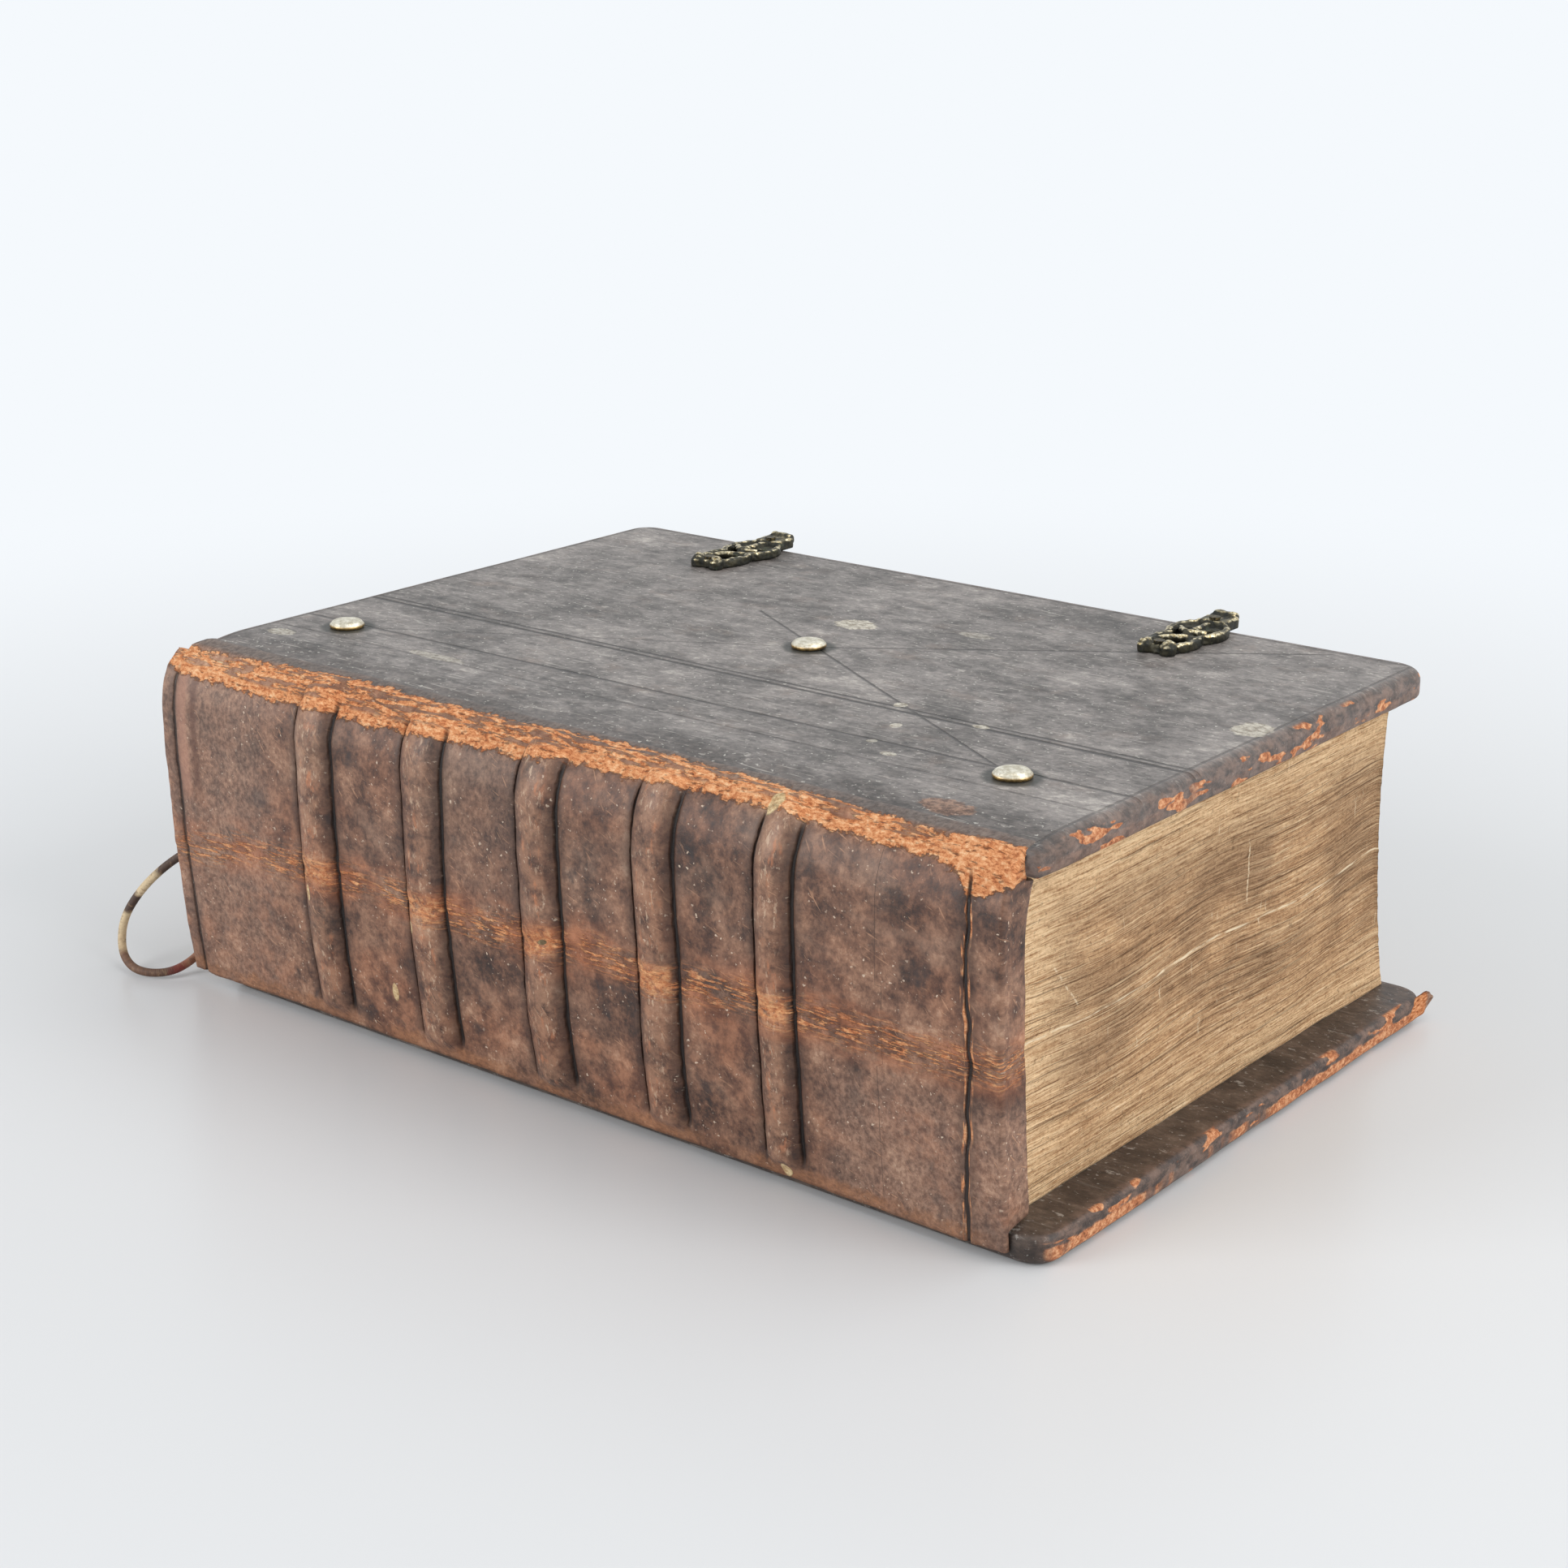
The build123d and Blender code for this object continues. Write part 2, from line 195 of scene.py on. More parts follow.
def wander(across, along, step, seed):
    """Smooth random heights from -1 to 1, one lump to each step."""
    size = 97
    lattice = np.random.default_rng(seed).uniform(-1, 1, (size, size))
    across, along = np.broadcast_arrays(across / step, along / step)
    row, column = np.floor(across).astype(int), np.floor(along).astype(int)
    over, up = across - row, along - column
    over, up = over**2 * (3 - 2 * over), up**2 * (3 - 2 * up)

    def at(i, j):
        return lattice[(row + i) % size, (column + j) % size]

    near = at(0, 0) * (1 - over) + at(1, 0) * over
    far = at(0, 1) * (1 - over) + at(1, 1) * over
    return near * (1 - up) + far * up


def smooth(value, low, high):
    """Rises smoothly from 0 at low to 1 at high, or falls where low is the higher."""
    share = np.clip((value - low) / (high - low), 0, 1)
    return share**2 * (3 - 2 * share)


def bell(value, width):
    """1 in the middle, falling off over a width."""
    return np.exp(-((value / width) ** 2))


def back_line(height):
    """Y of the outer leather of the back at a height."""
    rise = height - swell_height
    radius = np.where(rise > 0, shoulder_radius, back_radius)
    return swell_place + radius - np.sqrt(radius**2 - rise**2)


def grid_faces(rows, columns, first=0, closed=False):
    """Quads between rows of points, and round each row if it is closed."""
    wide = columns if closed else columns - 1
    row, column = np.meshgrid(np.arange(rows - 1), np.arange(wide), indexing="ij")
    turn = (column + 1) % columns
    quads = [row * columns + column, row * columns + turn]
    quads += [(row + 1) * columns + turn, (row + 1) * columns + column]
    return (first + np.stack(quads, -1)).reshape(-1, 4).tolist()


def tube_faces(rows, around, first=0):
    """Faces of a closed tube of rows of points, with both its ends."""
    low_end = [first + corner for corner in range(around)][::-1]
    high_end = [first + (rows - 1) * around + corner for corner in range(around)]
    return grid_faces(rows, around, first, True) + [low_end, high_end]


def make_piece(name, points, faces, finish):
    """A smooth mesh piece from points in millimetres."""
    mesh = bpy.data.meshes.new(name)
    mesh.from_pydata((np.asarray(points) * mm).tolist(), [], faces)
    mesh.polygons.foreach_set("use_smooth", [len(face) <= 4 for face in faces])
    mesh.materials.append(finish)
    mesh.validate()
    piece = bpy.data.objects.new(name, mesh)
    bpy.context.collection.objects.link(piece)
    return piece


leaf_step = 0.55
glue_gap = 0.15
spine_skin = 1.2
fore_top = 96.5
fore_hollow = 4.4
crease_height = 52.3
back_count, tail_count, fore_count, head_count = 24, 176, 150, 110
edge_room = 0.5
fore_room = 0.4
corner_room = 0.3
sag_height = 9.0
sag_reach = 100.0
tail_sag = 0.8
fore_sag = 0.5
wave_length = 96.0
wave_rise = 1.3
shoulder_lap = 0.2
shoulder_room = 1.0
shoulder_least = 0.1


def fore_line(height):
    """Y of the hollow fore-edge at a height."""
    share = (height - page_bottom) / (page_top - page_bottom)
    straight = page_high[1] + share * (fore_top - page_high[1])
    return straight - fore_hollow * (1 - (2 * share - 1) ** 2)


def leaf_relief(along, height, seed):
    """How far the leaf edges stand out along one side of the block."""
    warp = 1.5 * wander(along, height, 46.0, seed) + 0.6 * wander(along, height, 15.0, seed + 1)
    layer = height + warp
    relief = 0.24 * wander(layer * 26, along, 34.0, seed + 2)
    relief += 0.14 * wander(layer * 24, along, 58.0, seed + 3)
    relief += 0.42 * wander(along, layer, 22.0, seed + 4)
    relief += 0.3 * bell(layer - crease_height, 0.6) - 0.3 * bell(layer - crease_height + 1.4, 0.8)
    return relief


page_heights = np.append(np.arange(page_bottom, page_top - leaf_step / 2, leaf_step), page_top)
height = page_heights[:, None]
page_back = back_line(height) + spine_skin + glue_gap
page_fore = fore_line(height)
back_x = np.linspace(page_low[0], page_high[0], back_count, endpoint=False)[None, :]
tail_y = page_back + (page_fore - page_back) * np.linspace(0, 1, tail_count, endpoint=False)
fore_x = np.linspace(page_high[0], page_low[0], fore_count, endpoint=False)[None, :]
head_y = page_fore + (page_back - page_fore) * np.linspace(0, 1, head_count, endpoint=False)
sag = smooth(height, page_bottom + sag_height, page_bottom)
tail_x = page_high[0] - edge_room + leaf_relief(tail_y, height, 11)
tail_x += tail_sag * sag * smooth(tail_y, 0.0, sag_reach)
head_x = page_low[0] + edge_room - leaf_relief(head_y, height, 31)
fore_y = page_fore - fore_room + leaf_relief(fore_x, height, 51) + fore_sag * sag
tail_x[:, 0] = page_high[0] - edge_room
fore_y[:, 0] = page_fore[:, 0] - corner_room + leaf_relief(fore_x[:, :1], height, 51)[:, 0]
loops = [
    (back_x + 0 * height, page_back + 0 * back_x),
    (tail_x, tail_y),
    (fore_x + 0 * height, fore_y),
    (head_x, head_y),
]
loop_x = np.concatenate([loop[0] for loop in loops], 1)
loop_y = np.concatenate([loop[1] for loop in loops], 1)
columns = loop_x.shape[1]
page_points = np.stack([loop_x, loop_y, height + 0 * loop_x], -1).reshape(-1, 3)
page_faces = tube_faces(len(page_heights), columns)
shoulder_top = spine_high[2] - spine_skin - shoulder_room
shoulder_heights = np.linspace(page_top - shoulder_lap, shoulder_top, 9)
shoulder_back = back_line(shoulder_heights) + spine_skin + glue_gap
shoulder_back = np.minimum(shoulder_back, hinge_place - shoulder_least)
shoulder_x = (page_low[0], page_high[0], page_high[0], page_low[0])
shoulder_points = [
    (x, y, level)
    for level, back in zip(shoulder_heights, shoulder_back)
    for x, y in zip(shoulder_x, (back, back, hinge_place, hinge_place))
]
page_faces += tube_faces(len(shoulder_heights), len(shoulder_x), len(page_points))

paper, shade = start_finish("browned_leaf_edges")
x, y, z = places(shade)
bow = z.step(10, 44) * z.step(98, 60)
swing = y * (2 * math.pi / wave_length)
wave = swing.maths("COSINE", swing) * wave_rise
warp = shade.lumps(x / 45, y / 45, z / 30) * 1.3 + shade.lumps(x / 13, y / 13, z / 12) * 0.6
layer = z + warp - wave * bow
broad = shade.lumps(x / 90, y / 90, layer * 0.45, 4.0, 0.62)
strata = shade.lumps(x / 24, y / 24, layer * 1.7, 4.0, 0.75)
fine = shade.lumps(x / 7, y / 7, layer * 3.4, 3.0, 0.7)
grit = shade.lumps(x / 1.3, y / 1.3, z / 0.9, 3.0, 0.7)
tone = broad * 0.10 + strata * 0.38 + fine * 0.34 + grit * 0.18
leaf_stops = [
    (0.36, (96, 67, 43)),
    (0.43, (152, 114, 81)),
    (0.49, (186, 147, 109)),
    (0.55, (212, 175, 134)),
    (0.63, (248, 224, 190)),
]
leaves = tone.ramp(leaf_stops)
soiled = shade.lumps(x / 38, y / 38, z / 26, 4.0).step(0.38, 0.62)
soiled = soiled * z.step(20, 42) * z.step(100, 74) * y.step(-98, -66)
leaves = (soiled * 0.75).mix(leaves, tone.tones(0.40, 0.58, (97, 73, 53), (162, 129, 98)))
pale = (z.step(32, 9) * 0.4).most(z.step(70, 99) * 0.75).most(y.step(-52, -98) * 0.8)
leaves = pale.mix(leaves, tone.tones(0.39, 0.57, (178, 131, 88), (254, 222, 178)))
# Painted shade in the gaps between gatherings, and painted highlights on the lit leaf edges.
shaded_gaps = shade.lumps(x / 60, y / 60, layer * 2.3 + 40, 3.0).step(0.59, 0.66)
leaves = (shaded_gaps * 0.6).mix(leaves, (84, 58, 38))
lit_edges = shade.lumps(x / 70, y / 70, layer * 2.9 + 80, 2.0).step(0.60, 0.65)
leaves = (lit_edges * 0.45).mix(leaves, (242, 216, 176))
foxing = shade.lumps(x / 1.5, y / 1.5, z / 1.3, 3.0).step(0.60, 0.70)
leaves = (foxing * 0.42).mix(leaves, (92, 66, 44))
rubs = shade.lumps(x / 1.4, y / 1.4, z / 13).step(0.66, 0.74)
rubs = rubs * shade.lumps(x / 30, y / 30, z / 30).step(0.5, 0.62)
rubbed_dots = shade.lumps(y / 1.5, z / 1.5, x / 1.5, 3.0).step(0.36, 0.54)
tail_end = x.step(120, 135)
scratch = abs(y - 18.6 + (z - 68) * 0.05).step(0.5, 0.1) * abs(z - 68).step(10, 8) * tail_end
other_scratch = abs((y + 70.7) * 0.765 + (z - 63) * 0.644).step(0.45, 0.1)
other_scratch = other_scratch * abs(y + 70.7).step(6.4, 5.2) * tail_end
# Painted highlight: a pale line along the lip of the deep crease, laid on with the rubs and scratches.
from_crease = z - wave - crease_height - shade.lumps(y / 14, x / 14) * 1.6 + 1.0
crease_highlight = abs(from_crease).step(0.4, 0.1) * tail_end
crease_highlight = crease_highlight * shade.lumps(y / 9, 3.0, 0, 3.0).step(0.36, 0.56)
marks = (rubs * 0.5).most(scratch * rubbed_dots * 0.7).most(other_scratch * rubbed_dots * 0.5)
leaves = marks.most(crease_highlight * 0.75).mix(leaves, (246, 228, 196))
outer_leaf = z.step(page_bottom + 0.12, page_bottom + 0.04).most(z.step(page_top - 0.12, page_top - 0.04))
stains = shade.lumps(x / 30, y / 30, 3.0, 5.0).step(0.52, 0.72)
blank_leaf = stains.mix((218, 200, 164), (182, 152, 112))
blank_leaf = (foxing * 0.3).mix(blank_leaf, (140, 104, 70))
leaves = outer_leaf.mix(leaves, blank_leaf)
relief = tone - shaded_gaps * 0.12 + foxing * 0.05
close_finish(shade, leaves, relief, depth=0.9, rough=0.86, gloss=0.2)
block_points = np.concatenate([page_points, shoulder_points])
text_block = make_piece("sewn_leaves", block_points, page_faces, paper)
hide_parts("text_block")
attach(text_block, "text_block")

# Sewing cords: five twisted hemp cords across the back, with their ends laced into the
# boards and wedged by beech pegs. The leather covers them, but for a few worn spots.
hemp, shade = start_finish("twisted_hemp")
x, y, z = places(shade)
strand = shade.node("TexWave", {"bands_direction": "DIAGONAL"}, {"Scale": 420.0, "Distortion": 1.5})
fibre = shade.lumps(x * 3, y * 3, z * 0.8)
twist = fibre.mix((150, 122, 82), (206, 182, 138))
close_finish(shade, twist, strand + fibre * 0.4, depth=0.3, rough=0.9)
beech, shade = start_finish("raw_beech")
x, y, z = places(shade)
grain = shade.lumps(x / 60, y / 1.6, z / 1.6, 4.0)
rays = shade.lumps(x / 9, y / 0.8, z / 3).step(0.62, 0.7)
wood = grain.tones(0.3, 0.7, (104, 74, 46), (158, 120, 78))
wood = (rays * 0.4).mix(wood, (186, 150, 104))
close_finish(shade, wood, grain, depth=0.2, rough=0.7)


def dress(node, finish):
    """Gives a CAD piece that keeps its own shape its finish."""
    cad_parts[node].data.materials.clear()
    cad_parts[node].data.materials.append(finish)


for number in range(1, 6):
    dress(f"sewing_cord_{number}", hemp)
for cover in ("upper", "lower"):
    dress(f"{cover}_lacing", hemp)
    dress(f"{cover}_pegs", beech)
    dress(f"{cover}_board", beech)

# Headbands: silk wound in cream and brown over a cord core, sewn along head and tail.
# The one at the head has come away and hangs in a loop from the leaves.
band_thread, shade = start_finish("wound_silk")
x, y, z = places(shade)
turns = shade.lumps(x * 2, y * 2, z / 2.4)
thread = turns.tones(0.46, 0.54, (206, 184, 146), (84, 62, 48))
close_finish(shade, thread, shade.lumps(x * 2, y * 2, z * 1.6), depth=0.3, rough=0.7)
dress("tailband", band_thread)


def carried(shade, name):
    """Three numbers that each point of a piece carries."""
    values = shade.node("Attribute", {"attribute_name": name}, {}, "Vector")
    return [shade.node("SeparateXYZ", {}, {0: values}, part) for part in range(3)]


def carry(piece, name, values, times):
    """Gives each point of a piece three numbers, the same for each layer of its points."""
    layer = np.stack(values, -1).reshape(-1, 3)
    attribute = piece.data.attributes.new(name, "FLOAT_VECTOR", "POINT")
    attribute.data.foreach_set("vector", np.tile(layer, (times, 1)).astype(np.float32).ravel())


def full_turn(count):
    """Angles of the points round a ring."""
    return np.linspace(0, 2 * math.pi, count, endpoint=False)[None, :]


def tube_points(line, radius, turn, upright):
    """Rings of points round a line, with one radius for all or one for each point."""
    ahead = np.gradient(line, axis=0)
    ahead /= np.linalg.norm(ahead, axis=1)[:, None]
    side = np.cross(ahead, upright)
    side /= np.linalg.norm(side, axis=1)[:, None]
    lift = np.cross(side, ahead)
    spokes = np.cos(turn)[..., None] * side[:, None, :] + np.sin(turn)[..., None] * lift[:, None, :]
    return (line[:, None, :] + np.asarray(radius)[..., None] * spokes).reshape(-1, 3)


headband_core = 2.8
headband_length = 112.0
thread_pitch = 0.62
core_share = 0.80
thread_share = 0.14
thread_points = 16
off_route = (0.31, -0.52, 0.79)
loose_route = [
    (-145.0, -95.2, 43.5),
    (-151.5, -95.2, 43.5),
    (-159.0, -98.0, 39.5),
    (-167.5, -101.0, 33.0),
    (-176.0, -103.5, 24.5),
    (-182.5, -105.8, 14.5),
    (-180.8, -108.8, 5.6),
    (-173.5, -111.5, 2.3),
    (-165.5, -111.5, 2.0),
    (-160.2, -106.5, 2.1),
    (-159.4, -99.5, 3.4),
    (-158.4, -94.0, 7.0),
    (-154.5, -90.8, 11.6),
    (-150.0, -90.0, 13.4),
    (-145.0, -90.0, 13.4),
]
route_curve = bpy.data.curves.new("loose_headband_route", "CURVE")
route_curve.dimensions = "3D"
route_curve.resolution_u = 64
spline = route_curve.splines.new("NURBS")
spline.points.add(len(loose_route) - 1)
for control, spot in zip(spline.points, loose_route):
    control.co = [part * mm for part in spot] + [1.0]
spline.order_u = 3
spline.use_endpoint_u = True
route_object = bpy.data.objects.new("loose_headband_route", route_curve)
route_mesh = bpy.data.meshes.new_from_object(route_object)
core = np.array([vertex.co for vertex in route_mesh.vertices])
bpy.data.objects.remove(route_object)
core_run = np.append(0, np.cumsum(np.linalg.norm(np.diff(core, axis=0), axis=1)))
turn = full_turn(thread_points)
run = core_run[:, None] / mm
wrap = (run / thread_pitch + turn / (2 * math.pi)) % 1
core_radius = headband_core / 2 * mm * (core_share + thread_share * np.sqrt(np.sin(math.pi * wrap)))
ring_points = tube_points(core, core_radius, turn, off_route) / mm
ring_faces = tube_faces(len(core), thread_points)
loose_silk, shade = start_finish("loose_wound_silk")
along, around = carried(shade, "wound")[:2]
worn = shade.lumps(along / 1.1, around * 3, 2.0, 3.0)
ragged = shade.lumps(along / 5.0, around * 1.2, 5.0, 4.0) * 14 - 7
silk_stops = [
    (0.10, (66, 48, 40)),
    (0.24, (74, 54, 44)),
    (0.27, (208, 186, 150)),
    (0.33, (216, 194, 158)),
    (0.36, (70, 50, 42)),
    (0.41, (80, 60, 48)),
    (0.44, (214, 192, 156)),
    (0.52, (198, 174, 138)),
    (0.57, (112, 80, 60)),
    (0.72, (92, 66, 52)),
    (0.76, (120, 48, 42)),
    (0.80, (150, 104, 80)),
]
silk = ((along + ragged) / headband_length).ramp(silk_stops)
silk = (worn.step(0.54, 0.68) * 0.5).mix(silk, (156, 126, 96))
silk = (worn.step(0.44, 0.32) * 0.5).mix(silk, (64, 48, 40))
close_finish(shade, silk, worn, depth=0.15, rough=0.62)
loose_headband = make_piece("loose_headband_silk", ring_points, ring_faces, loose_silk)
carry(loose_headband, "wound", np.broadcast_arrays(run, turn / (2 * math.pi), 0 * run), 1)
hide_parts("loose_headband")
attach(loose_headband, "text_block")

# Upper and lower covers: calf drawn over beech boards and turned in, a sheet of paper pasted
# inside. The grain side is stained dark, ruled blind, and rubbed through to tan at the edges.
paste_sheet, shade = start_finish("pasted_rag_paper")
x, y, z = places(shade)
laid = shade.lumps(x / 0.7, y / 26)
cloud = shade.lumps(x / 32, y / 32)
sheet = cloud.tones(0.35, 0.68, (206, 186, 148), (226, 210, 176))
damp = shade.lumps(x / 14 + 7, y / 14, 0, 4.0).step(0.56, 0.72)
sheet = (damp * 0.45).mix(sheet, (164, 132, 92))
close_finish(shade, sheet, laid + cloud * 0.5, depth=0.15, rough=0.9)
dress("upper_pastedown", paste_sheet)
dress("lower_pastedown", paste_sheet)

fore_corner = 9.0
outer_round = 3.4
inner_round = 1.6
turn_in = 20.0
paste_back = 4.0
paper_sink = 0.75
cover_line_step = 2.2
corner_steps = 6
roll_run = 16.0
roll_drop = 1.7
roll_power = 1.474
window_step = 0.15
face_sink = 0.12


def cover_roll(place):
    """How far the upper cover drops towards its joint."""
    share = np.clip((place - upper_low[1]) / roll_run, 0, 1)
    return roll_drop * (1 - share) ** roll_power


def cover_lines(half, back_window, fore_window):
    """Lines across a cover from edge to edge: the straight stretch, then steps round each corner."""
    straight = np.linspace(fore_corner - half, half - fore_corner, int(2 * half / cover_line_step))
    windows = (back_window, fore_window)
    window_lines = [window + side * window_step for window in windows for side in (-1, 1)]
    inside = [line for line in window_lines if abs(line) < half - fore_corner]
    straight = np.sort(np.append(straight, inside))
    steps = np.arange(1, corner_steps + 1) / corner_steps
    shares = np.concatenate([-steps[::-1], 0 * straight, steps])
    bases = np.concatenate([0 * steps + fore_corner - half, straight, 0 * steps + half - fore_corner])
    return bases, shares


def rim_line(rows, columns):
    """The points round the edge of a sheet, in order."""
    index = np.arange(rows * columns).reshape(rows, columns)
    return np.concatenate([index[0, :-1], index[:-1, -1], index[-1, :0:-1], index[:0:-1, 0]])


def waver(place, step, seed):
    """Smooth random heights from -1 to 1 along one line."""
    return wander(place, 0 * place, step, seed)


def make_cover(name, low, high, up, finish, back_square, back_round, seed):
    """The leather of one board: outer face, rounded edge all round, and inner face with its turn-ins."""
    half_x, half_y = (high[0] - low[0]) / 2, (high[1] - low[1]) / 2
    middle_x, middle_y = (high[0] + low[0]) / 2, (high[1] + low[1]) / 2
    base_x, share_x = cover_lines(half_x, turn_in - half_x, half_x - turn_in)
    base_y, share_y = cover_lines(half_y, paste_back - half_y, half_y - turn_in)
    outer, inner = (high[2], low[2]) if up > 0 else (low[2], high[2])

    def plan(inset, back_inset):
        """Places of all lines' crossings for an outline drawn in by an inset."""
        reach_x = fore_corner - inset
        reach_y = np.where(share_y < 0, fore_corner - back_inset, fore_corner - inset)
        keep = np.where(share_y < 0, 1 - back_square, 1.0)[:, None] / 2
        bend_x = share_x[None, :] * np.sqrt(1 - keep * share_y[:, None] ** 2)
        bend_y = share_y[:, None] * np.sqrt(1 - keep * share_x[None, :] ** 2)
        return middle_x + base_x + bend_x * reach_x, middle_y + base_y[:, None] + bend_y * reach_y[:, None]

    rows, columns = len(base_y), len(base_x)
    rim = rim_line(rows, columns)
    backness = np.where(np.repeat(share_y, columns) < -0.4, 1.0, 0.0)[rim]
    rim_round = outer_round + (back_round - outer_round) * backness

    def add_ring(inset, back_inset, bulge, level):
        """One line of points round the edge, spread where the edge is worn."""
        px, py = (part.reshape(-1)[rim] for part in plan(inset, back_inset))
        spread = 1 + worn * bulge / half_x
        ring_x, ring_y = middle_x + (px - middle_x) * spread, middle_y + (py - middle_y) * spread
        points.append(np.stack([ring_x, ring_y, level], -1))

    def face_height(px, py):
        lumps = 0.22 * wander(px, py, 62.0, seed) + 0.08 * wander(px, py, 17.0, seed + 1)
        drop = cover_roll(py) if up > 0 else 0 * py
        return outer - up * (drop + face_sink - 0.4 * lumps * (up > 0))

    px, py = plan(outer_round, back_round)
    top = np.stack([px, py, face_height(px, py)], -1).reshape(-1, 3)
    points = [top]
    run_along = np.arange(len(rim)) * cover_line_step
    worn = waver(run_along, 9.0, seed + 2) * 0.22
    worn += waver(run_along, 31.0, seed + 3) * 0.2
    for bend in np.linspace(0, 1, 7)[1:] * math.pi / 2:
        inset = 1 - math.sin(bend)
        drop = rim_round * (1 - math.cos(bend)) + 0.15 * np.minimum(worn, 0) ** 2
        add_ring(inset * outer_round, inset * back_round, math.sin(bend), top[rim, 2] - up * drop)
    for bend in np.linspace(0, 1, 5)[:-1] * math.pi / 2:
        inset = (1 - math.cos(bend)) * inner_round
        level = np.full(len(rim), inner + up * inner_round * (1 - math.sin(bend)))
        add_ring(inset, inset, math.cos(bend), level)
    px, py = plan(inner_round, inner_round)
    window = (px > low[0] + turn_in) & (px < high[0] - turn_in)
    window &= (py > low[1] + paste_back) & (py < high[1] - turn_in)
    points.append(np.stack([px, py, inner + up * paper_sink * window], -1).reshape(-1, 3))
    faces = grid_faces(rows, columns)
    ring_count = len(points) - 2
    starts = [len(top) + ring * len(rim) for ring in range(ring_count)]
    chains = [rim] + [start + np.arange(len(rim)) for start in starts]
    last = starts[-1] + len(rim)
    chains.append(last + rim)
    for upper_ring, lower_ring in zip(chains, chains[1:]):
        after_up, after_low = np.roll(upper_ring, -1), np.roll(lower_ring, -1)
        faces += np.stack([lower_ring, after_low, after_up, upper_ring], -1).tolist()
    faces += [face[::-1] for face in grid_faces(rows, columns, last)]
    if up < 0:
        faces = [face[::-1] for face in faces]
    return make_piece(name, np.concatenate(points), faces, finish)


def most_of(masks):
    """The highest of some masks at each place."""
    highest = 0.0
    for mask in masks:
        highest = mask.most(highest)
    return highest


def ruled(x, y, start, end, wide):
    """A blind line pressed from one place to another: 1 in the line, 0 beside it."""
    (x0, y0), (x1, y1) = start, end
    length = math.hypot(x1 - x0, y1 - y0)
    along_x, along_y = (x1 - x0) / length, (y1 - y0) / length
    off = abs((x - x0) * along_y - (y - y0) * along_x)
    far = abs((x - (x0 + x1) / 2) * along_x + (y - (y0 + y1) / 2) * along_y)
    return off.step(wide, wide * 0.35) * far.step(length / 2 + 1, length / 2 - 1)


def scar(shade, x, y, place, wide, deep):
    """A bare patch where something was fixed or stuck: 1 inside its ragged edge."""
    ragged = shade.lumps(x / 3.1, y / 3.1, place[0], 4.0, 0.65) * 1.6
    across, along = (x - place[0]) / wide, (y - place[1]) / deep
    return (across * across + along * along + ragged).step(1.95, 1.65)


